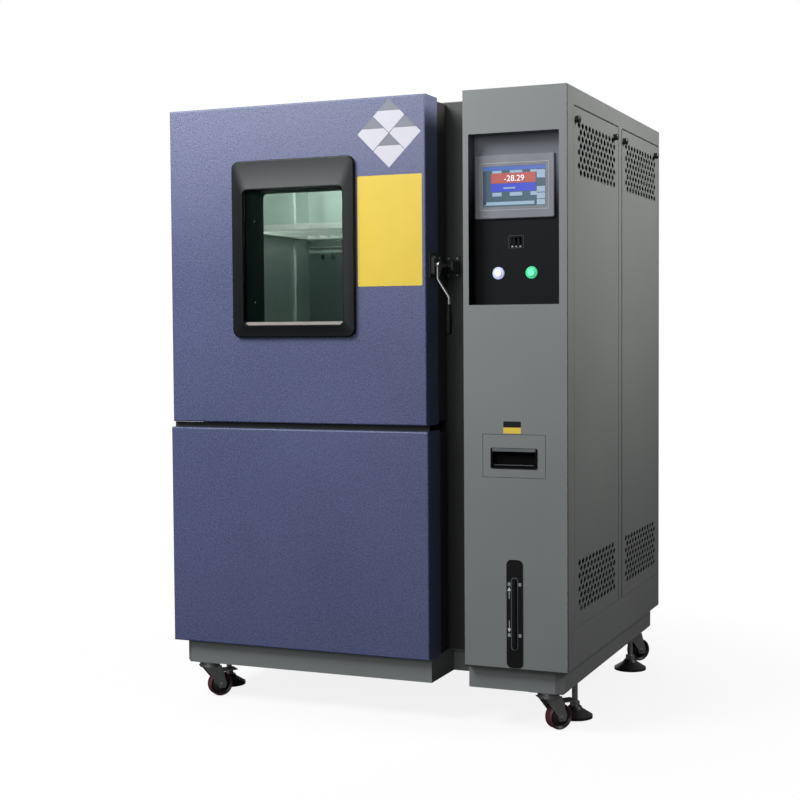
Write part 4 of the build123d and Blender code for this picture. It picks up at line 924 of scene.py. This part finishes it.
@dataclass
class LevelGauge:
    """The water level gauge's border line, its level marks and arrows."""

    lift: float = 0.0004
    marks: Pair = (0.243, 0.367)
    groove: float = 0.0022
    line: float = 0.0014
    line_height: float = 0.0008
    line_corners: Pair = (0.008, 0.0072)
    mark_gap: float = 0.0035
    mark_half: float = 0.0042
    mark_corner: float = 0.0012
    arrow_tip: float = 0.007
    arrow_neck: float = 0.016
    arrow_tail: float = 0.036
    arrow_half: float = 0.0045
    stem_half: float = 0.0008
    stem_corner: float = 0.0003

    def build(self) -> None:
        """Build the border line, two short level marks and two arrows on the gauge's plate."""
        low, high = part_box("level_gauge_plate")
        tube = front_edges("level_gauge_tube")
        seat = Seat.front(low.y)
        Shapes.border("gauge_border", seat, grown(tube, self.groove), self.line, self.line_corners,
                      self.line_height, Finish.DIM_LINE, "grey_paint")
        gap = self.mark_gap
        for number, height in enumerate(self.marks):
            for side, (start, end) in enumerate(((low.x + gap, tube[0] - gap), (tube[1] + gap, high.x - gap))):
                mark = Outline.rounded(start, end, height - self.mark_half, height + self.mark_half,
                                       self.mark_corner, 3)
                Shapes.film(f"gauge_mark_{number}_{side}", seat, mark, self.lift, "cabinet", Finish.GAUGE_MARK,
                            "grey_paint")
            self._arrow(seat, number, (low.x + tube[0]) / 2, height, 1 if number else -1)

    def _arrow(self, seat: Seat, number: int, u: float, mark: float, way: int) -> None:
        """A small arrow with a stem beside a level mark; it points up for a way of 1 and down for -1."""
        tip, neck, tail = (mark - way * far for far in (self.arrow_tip, self.arrow_neck, self.arrow_tail))
        head = np.array([[u - self.arrow_half, neck], [u + self.arrow_half, neck], [u, tip]])[::way]
        stem = Outline.rounded(u - self.stem_half, u + self.stem_half, min(neck, tail), max(neck, tail),
                               self.stem_corner, 3)
        for name, outline, finish in (("head", head, Finish.WHITE_FILM), ("stem", stem, Finish.PALE_MARK)):
            Shapes.film(f"gauge_arrow_{name}_{number}", seat, outline, self.lift, "cabinet", finish,
                        "grey_paint")


@dataclass
class Screws:
    """Small domed screws and bolts where sheet-metal pieces are fixed."""

    radius: float = 0.0035
    height: float = 0.0016
    leaf_height: float = 0.096
    leaf_sunk: float = 0.004
    leaf_shares: Pair = (0.2, 0.8)
    body_insets: Pair = (0.012, 0.04)
    door_insets: Pair = (0.012, 0.038)
    latch_places: tuple[Pair, ...] = ((-0.015, 0.018), (0.015, 0.018), (0.016, -0.017))
    keeper_sunk: float = 0.005
    keeper_reach: float = 0.012
    keeper_inset: float = 0.007
    tunnel_gap: float = 0.0001
    tunnel_depth: float = 0.05
    tunnel_rises: Pair = (0.06, 0.27)
    keeper_scale: float = 0.75
    tunnel_scale: float = 0.8
    rear_scale: float = 1.2
    rear_inset: float = 0.012
    rear_columns: int = 5
    rear_rows: int = 6

    def _row(self, prefix: str, seat: Seat, places: Sequence[Pair], body: str,
             scale: float = 1.0, finish: Finish = Finish.ZINC, slot: str = "zinc") -> None:
        """Several equal screws on one seat."""
        for number, (u, v) in enumerate(places):
            dome = Shapes.dome(f"{prefix}_{number}", seat, u, v, self.radius * scale, self.height * scale)
            Kit.place(dome, body, finish, slot)

    def build(self) -> None:
        """Build the screws of the hinges, the latch, the keeper, the window's tunnel and the rear panel."""
        self._hinges()
        low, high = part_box("latch_base")
        y, z = (low.y + high.y) / 2, (low.z + high.z) / 2
        self._row("latch_bolt", Seat.right(high.x), [(y + dy, z + dz) for dy, dz in self.latch_places], "door",
                  1.0, Finish.CHROME, "bright")
        low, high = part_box("latch_keeper")
        x = (low.x + high.x) / 2
        self._row("keeper_bolt", Seat.front(high.y - self.keeper_sunk),
                  [(x + reach, z) for z in (high.z - self.keeper_inset, low.z + self.keeper_inset)
                   for reach in (-self.keeper_reach, self.keeper_reach)], "cabinet",
                  self.keeper_scale)
        left, _, bottom, _ = WindowTrim().opening
        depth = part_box("door_core")[0].y + self.tunnel_depth
        self._row("tunnel_screw", Seat.right(left + self.tunnel_gap),
                  [(depth, bottom + rise) for rise in self.tunnel_rises], "door", self.tunnel_scale)
        low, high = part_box("rear_panel")
        rear = Seat((0.0, high.y, 0.0), (-1.0, 0.0, 0.0), (0.0, 0.0, 1.0))
        columns = np.linspace(low.x + self.rear_inset, high.x - self.rear_inset, self.rear_columns)
        rows = np.linspace(low.z + self.rear_inset, high.z - self.rear_inset, self.rear_rows)
        edge = [(-x, z) for x in columns for z in rows
                if x in (columns[0], columns[-1]) or z in (rows[0], rows[-1])]
        self._row("rear_screw", rear, edge, "cabinet", self.rear_scale)

    def _hinges(self) -> None:
        """Build the screws of both hinges' leaves."""
        low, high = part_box("hinge_body_leaves")
        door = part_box("hinge_door_leaves")[0].y
        seat = Seat((high.x - self.leaf_sunk, 0.0, 0.0), (0.0, -1.0, 0.0), (0.0, 0.0, 1.0))
        for number, base in enumerate((low.z, high.z - self.leaf_height)):
            rows = [base + self.leaf_height * share for share in self.leaf_shares]
            self._row(f"hinge_body_screw_{number}", seat,
                      [(inset - high.y, z) for z in rows for inset in self.body_insets], "cabinet")
            self._row(f"hinge_door_screw_{number}", seat,
                      [(-door - inset, z) for z in rows for inset in self.door_insets], "door")


@dataclass
class SeamsAndShadeStrips:
    """Dark strips in the seams: the covers' dark seams and the panel's corner seam, and painted shade in the
    covers' top slits, beside the column, under the front panel and behind the gap under the door.
    """

    seam: float = 0.0010
    slit: float = 0.0040
    depth: float = 0.0006
    corner: float = 0.0004
    sunk: float = 0.0018
    film: float = 0.0003
    narrow: float = 0.0030
    wide: float = 0.0055
    corner_seam: float = 0.0045
    foot_shadow: float = 0.0050
    lip_depth: float = 0.0035
    lip_setback: float = 0.0200
    lip_inset: float = 0.0030
    door_clearance: float = 0.0015

    def _strip(self, name: str, seat: Seat, edges: Edges, depth: float, finish: Finish = Finish.RUBBER) -> None:
        """One strip between four edges of a seat: first and last along it, lowest and highest."""
        Shapes.film(name, seat, Outline.rounded(*edges, self.corner, 2), depth, "cabinet", finish, "gasket")

    def build(self) -> None:
        """Build the strips round the covers, on the column between them, at the panel and under the door."""
        seam = self.seam
        front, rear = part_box("front_side_cover"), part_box("rear_side_cover")
        for node, (low, high) in (("front_side_cover", front), ("rear_side_cover", rear)):
            seat = Seat.right(high.x - self.sunk)
            # the front, rear and low strips are the covers' dark seams; the top strip, as wide as the slit, is
            # painted shadow in the slit above each cover
            for side, edges in (("front", (low.y - seam, low.y, low.z, high.z)),
                                ("rear", (high.y, high.y + seam, low.z, high.z)),
                                ("low", (low.y - seam, high.y + seam, low.z - seam, low.z)),
                                ("top", (low.y - seam, high.y + seam, high.z, high.z + self.slit))):
                self._strip(f"{node}_{side}_seal", seat, edges, self.depth)
        face = Seat.right(front[1].x)
        start, end = front[1].y + seam, rear[0].y - seam
        # the column's two strips are painted shade in the bend and gap beside each cover's edge
        self._strip("column_front_painted_shade", face, (start, start + self.narrow, front[0].z, front[1].z), self.film,
                    Finish.DIM_LINE)
        self._strip("column_rear_painted_shade", face, (end - self.wide, end, rear[0].z, rear[1].z), self.film)
        low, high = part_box("control_cabinet_frame")
        self._strip("panel_corner_seal", face, (low.y, low.y + self.corner_seam, low.z, high.z), self.film)
        low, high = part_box("control_front_panel")
        # a painted shadow line under the front panel's bottom edge
        self._strip("panel_foot_painted_shadow", Seat.front(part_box("base_frame")[0].y),
                    (low.x, high.x - seam, low.z - self.foot_shadow, low.z), self.film)
        low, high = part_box("lower_front_cover")
        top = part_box("door_skin")[0].z - self.door_clearance
        # a dark strip behind the gap under the door: partly the real dark strip there, partly painted shade
        # under the door's lower edge
        self._strip("door_gap_lip", Seat.front(low.y + self.lip_setback),
                    (low.x + self.lip_inset, high.x - self.lip_inset, high.z, top), self.lip_depth)


@dataclass
class SmallTrims:
    """Painted highlights on the lips of the drawer's pull, and the bead under the window's outer pane."""

    inset: float = 0.0045
    lip: float = 0.0085
    lip_gap: float = 0.0008
    lip_corner: float = 0.003
    line: float = 0.0012
    line_height: float = 0.0085
    line_corner: float = 0.0005
    line_sunk: float = 0.0002
    film: float = 0.0004
    bead: float = 0.0080
    bead_depth: float = 0.0012
    bead_inset: float = 0.0005
    bead_gap: float = 0.0002
    bead_corner: float = 0.0015

    def build(self) -> None:
        """Build the painted highlights on the pull's upper and lower lips, and the glazing bead."""
        low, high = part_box("drawer_pull")
        level = low.z + self.line_height
        # both pull films are painted highlights: a grey band of reflected light on the upper lip and a thin
        # line of light on the lower lip
        for name, inset, bottom, top, corner, sunk in (
                ("pull_upper_lip_highlight", self.inset, high.z - self.lip, high.z - self.lip_gap, self.lip_corner, 0.0),
                ("pull_lower_lip_highlight", self.inset * 2, level, level + self.line, self.line_corner,
                 self.line_sunk)):
            outline = Outline.rounded(low.x + inset, high.x - inset, bottom, top, corner)
            Shapes.film(name, Seat.front(low.y + sunk), outline, self.film, "drawer", Finish.DIM_LINE,
                        "black_plastic")
        trim = WindowTrim()
        left, right, bottom, _ = trim.opening
        bead = Outline.rounded(left + self.bead_inset, right - self.bead_inset, bottom + self.bead_gap,
                               bottom + self.bead, self.bead_corner)
        Shapes.film("glazing_bead", Seat.front(trim.back), bead, self.bead_depth, "door", Finish.BEAD,
                    "bright")


@dataclass
class PortDress:
    """The slotted port's frame line and the small contacts at the bottoms of its slots."""

    half_width: float = 0.015
    half_height: float = 0.011
    margin: float = 0.0045
    line: float = 0.0012
    line_height: float = 0.0008
    corners: Pair = (0.002, 0.0012)
    from_middle: float = 0.003
    above_button: float = 0.075
    sunk: float = 0.007
    contact: float = 0.0022
    contact_height: float = 0.0008
    contact_drop: float = 0.0005
    pitch: float = 0.010
    slots: int = 3

    def build(self) -> None:
        """Build the frame and three contacts, in front of the recess's plate."""
        low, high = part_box("white_button")
        u = (low.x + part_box("green_button")[1].x) / 2 + self.from_middle
        v = (low.z + high.z) / 2 + self.above_button
        seat = Seat.front(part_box("touch_panel_housing")[0].y + self.sunk)
        port = (u - self.half_width, u + self.half_width, v - self.half_height, v + self.half_height)
        Shapes.border("port_frame", seat, grown(port, self.margin), self.line, self.corners, self.line_height,
                      Finish.BLACK_PLASTIC, "black_plastic")
        for number in range(self.slots):
            place = u + (number - (self.slots - 1) / 2) * self.pitch
            dome = Shapes.dome(f"port_contact_{number}", seat, place, port[2] - self.contact_drop, self.contact,
                               self.contact_height)
            Kit.place(dome, "cabinet", Finish.PALE_MARK, "bright")


@dataclass
class Undercarriage:
    """Wheels, forks and feet in their own finishes."""

    tread_share: float = 0.76
    tread_extra: float = 0.006
    tread: Colour = shade(70, 30, 34)
    hub: Colour = shade(30, 30, 32)
    bell_top: float = 0.0295
    bell: Colour = shade(26, 26, 28)
    screw: Colour = (0.5, 0.5, 0.5, 1.0)

    def build(self) -> None:
        """Give the wheels a dark red tread, the feet black bells with plated screws, and the forks zinc."""
        for depth, side in NAMED_CORNERS:
            node = f"caster_wheel_{depth}_{side}"
            low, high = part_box(node)
            rim = (high.z - low.z) / 2 * self.tread_share + self.tread_extra
            Kit.paint(Wheel(f"{node}_finish", tuple((low + high) / 2), self.tread, self.hub, rim), node)
            Kit.paint(Finish.ZINC, f"caster_fork_{depth}_{side}")
            Kit.paint(TwoZone(f"foot_{depth}_{side}_finish", self.bell, self.screw, self.bell_top),
                      f"levelling_foot_{depth}_{side}")
        Kit.paint(Finish.ZINC, "caster_plates")


@dataclass
class SheetMetal:
    """Every painted, plated or moulded CAD piece, by finish."""

    fold_height: float = 0.3775
    tunnel_margin: float = 0.0015
    groups: dict[Finish, tuple[str, ...]] = field(default_factory=lambda: {
        Finish.GREY: ("base_frame", "control_front_panel", "top_cover", "water_drawer",
                      "control_cabinet_frame", "front_side_cover", "rear_side_cover", "left_side_panel",
                      "rear_panel"),
        Finish.BLUE: ("door_skin", "lower_front_cover"),
        Finish.BLACK: ("front_bulkhead", "black_front_frames", "latch_base", "latch_keeper", "fan_motor",
                       "compressor"),
        Finish.RECESS: ("operating_recess",),
        Finish.STEEL: ("chamber_liner", "shelf_runners"),
        Finish.SHELF: ("sample_shelf",),
        Finish.ZINC: ("hinge_body_leaves", "hinge_door_leaves", "electrical_plate"),
        Finish.LEVER: ("latch_lever",),
        Finish.GRIP: ("latch_grip",),
        Finish.ALUMINIUM: ("conditioning_coils", "condenser", "circulation_fan"),
        Finish.BLACK_PLASTIC: ("cover_knob_1", "cover_knob_2", "cover_knob_3", "cover_knob_4"),
        Finish.TRIM_PLASTIC: ("window_frame",),
        Finish.PANEL_PLASTIC: ("touch_panel_housing",),
        Finish.PULL_PLASTIC: ("drawer_pull",),
        Finish.GAUGE_BLACK: ("level_gauge_plate",),
        Finish.RUBBER: ("door_gasket",),
        Finish.FOAM: ("insulation",),
        Finish.PANE: ("window_panes",),
        Finish.TUBE: ("level_gauge_tube",),
    })

    def build(self) -> None:
        """Dress every group, then the pieces with a finish of their own."""
        for finish, nodes in self.groups.items():
            Kit.paint(finish, *nodes)
        window = grown(WindowTrim().opening, self.tunnel_margin)
        Kit.paint(WindowedCore("door_lining", (0.58, 0.6, 0.59, 1.0), shade(8, 9, 9), window), "door_core")
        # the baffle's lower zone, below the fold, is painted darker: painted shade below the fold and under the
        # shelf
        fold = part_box("chamber_liner")[0].z + self.fold_height
        Kit.paint(TwoZone("baffle_steel", (0.12, 0.16, 0.155, 1.0), (0.5, 0.58, 0.54, 1.0), fold,
                          inner_metal=0.75, outer_metal=0.75, roughness=0.4), "air_baffle")
        left, right, _, _ = front_edges("button_bezels")
        Kit.paint(LitRings("lit_rings", shade(176, 182, 226), shade(58, 190, 128), (left + right) / 2),
                  "button_bezels")
        Kit.paint(Glow("screen_ground", shade(50, 80, 100), 0.2), "touch_screen")
        Kit.paint(Glow("white_cap_lit", shade(216, 222, 244), 0.45), "white_button")
        Kit.paint(Glow("green_cap_lit", shade(96, 214, 168), 0.45), "green_button")


@dataclass(frozen=True)
class Lamp:
    """A soft lamp: its place and target, its size, power and colour, and its opening angle in degrees."""

    name: str
    place: Point
    target: Point
    size: Pair
    power: float
    tint: Point = (1.0, 1.0, 1.0)
    spread: float = 180.0

    def build(self) -> None:
        """Build the lamp and point it at its target."""
        data = bpy.data.lights.new(self.name, "AREA")
        data.shape = "RECTANGLE"
        data.size, data.size_y = self.size
        data.energy = self.power
        data.color = self.tint
        data.spread = math.radians(self.spread)
        lamp = bpy.data.objects.new(self.name, data)
        bpy.context.scene.collection.objects.link(lamp)
        lamp.location = self.place
        lamp.rotation_mode = "QUATERNION"
        lamp.rotation_quaternion = (Vector(self.target) - Vector(self.place)).to_track_quat("-Z", "Y")


@dataclass
class Studio:
    """The camera at the photograph's place, soft lamps and a pale floor."""

    pan: float = 22.733
    tilt: float = 2.621
    roll: float = -0.388
    focal_pixels: float = 1485.2
    frame_pixels: float = 800.0
    sensor: float = 36.0
    position: Point = (1.5336, -3.8587, 0.9763)
    ambient: float = 0.22
    floor_half: float = 40.0
    floor_tone: Colour = (0.05, 0.05, 0.05, 1.0)
    floor_seen: Colour = (0.95, 0.95, 0.95, 1.0)
    floor_roughness: float = 0.9
    floor_glow: float = 0.86
    fade_edges: Pair = (0.5, 1.5)
    cool: Point = (0.97, 0.985, 1.0)
    warm: Point = (1.0, 0.985, 0.94)
    chamber_tint: Point = (0.86, 1.0, 0.93)

    def build(self) -> None:
        """Build camera, lamps, world and floor."""
        self._camera()
        low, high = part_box("chamber_liner")
        middle = (low.x + high.x) / 2
        for lamp in (
                Lamp("key_lamp", (-1.5, -2.5, 3.2), (-0.45, 0.0, 1.5), (1.8, 1.8), 60.0, self.cool, 100.0),
                Lamp("front_lamp", (0.15, -5.0, 2.0), (0.2, 0.0, 0.7), (2.0, 2.0), 62.0, self.cool),
                Lamp("side_lamp", (3.1, 0.3, 3.0), (0.55, 0.1, 1.95), (1.5, 1.5), 26.5, self.warm, 62.0),
                Lamp("rear_lamp", (-1.5, 4.2, 2.6), (0.0, 0.0, 0.8), (2.4, 2.4), 60.0),
                Lamp("chamber_lamp", (middle, low.y - 0.018, high.z - 0.03),
                     (middle, low.y + 0.22, high.z - 0.25), (0.36, 0.03), 4.6, self.chamber_tint)):
            lamp.build()
        self._world()
        self._floor()
        bpy.context.scene.view_settings.view_transform = "Standard"

    def _camera(self) -> None:
        """Place the camera by its pan, tilt and roll: it looks along +Y turned towards -X by the pan."""
        pan, tilt, roll = (math.radians(value) for value in (self.pan, self.tilt, self.roll))
        ahead = Vector((-math.sin(pan) * math.cos(tilt), math.cos(pan) * math.cos(tilt), -math.sin(tilt)))
        right = ahead.cross(Vector((0, 0, 1))).normalized()
        up = right.cross(ahead)
        turned_right = math.cos(roll) * right + math.sin(roll) * up
        turned_up = -math.sin(roll) * right + math.cos(roll) * up
        data = bpy.data.cameras.new("camera")
        data.sensor_width = self.sensor
        data.lens = self.focal_pixels / self.frame_pixels * data.sensor_width
        camera = bpy.data.objects.new("camera", data)
        bpy.context.scene.collection.objects.link(camera)
        turn = Matrix((turned_right, turned_up, -ahead)).transposed()
        camera.matrix_world = Matrix.Translation(Vector(self.position)) @ turn.to_4x4()
        bpy.context.scene.camera = camera

    def _world(self) -> None:
        """A world that the camera sees as white, and that lights the object softly."""
        world = bpy.data.worlds.new("studio")
        kit = NodeTree(world)
        seen = kit.node("ShaderNodeBackground", sockets={"Color": WHITE})
        light = kit.node("ShaderNodeBackground", sockets={"Color": WHITE, "Strength": self.ambient})
        kit.node("ShaderNodeOutputWorld", sockets={"Surface": kit.blend(kit.camera_ray(), light, seen)})
        bpy.context.scene.world = world

    def _floor(self) -> None:
        """A wide pale floor: the camera sees it near white with the object's soft shadow on it."""
        low, high = -self.floor_half, self.floor_half
        points = np.array([[low, low, 0.0], [high, low, 0.0], [high, high, 0.0], [low, high, 0.0]])
        floor = Kit.mesh("floor", points, [(0, 1, 2, 3)], smooth=False)
        kit = ShaderKit("pale_floor")
        ray = kit.camera_ray()
        kit.surface(Base_Color=kit.mix(ray, self.floor_tone, self.floor_seen), Roughness=self.floor_roughness)
        glow = kit.node("ShaderNodeEmission", sockets={"Color": WHITE, "Strength": 1.0})
        apart = kit.node("ShaderNodeVectorMath", {"operation": "LENGTH"}, {0: kit.place})
        fade = Signal(kit, apart.outputs["Value"]).ease(*self.fade_edges)
        share = Signal(kit, ray) * (self.floor_glow + fade * (1.0 - self.floor_glow))
        kit.feed(kit.output.inputs["Surface"], kit.blend(share, kit.shader, glow))
        floor.data.materials.append(kit.material)


def main() -> None:
    """Dress the chamber and set up the studio."""
    logging.basicConfig(level=logging.INFO)
    for part in (Studio(), SheetMetal(), WindowTrim(), Display(), FrontFilms(), LevelGauge(), Screws(),
                 SeamsAndShadeStrips(), SmallTrims(), PortDress(), Undercarriage()):
        LOG.info("building %s", type(part).__name__)
        part.build()


if __name__ == "__main__":
    main()
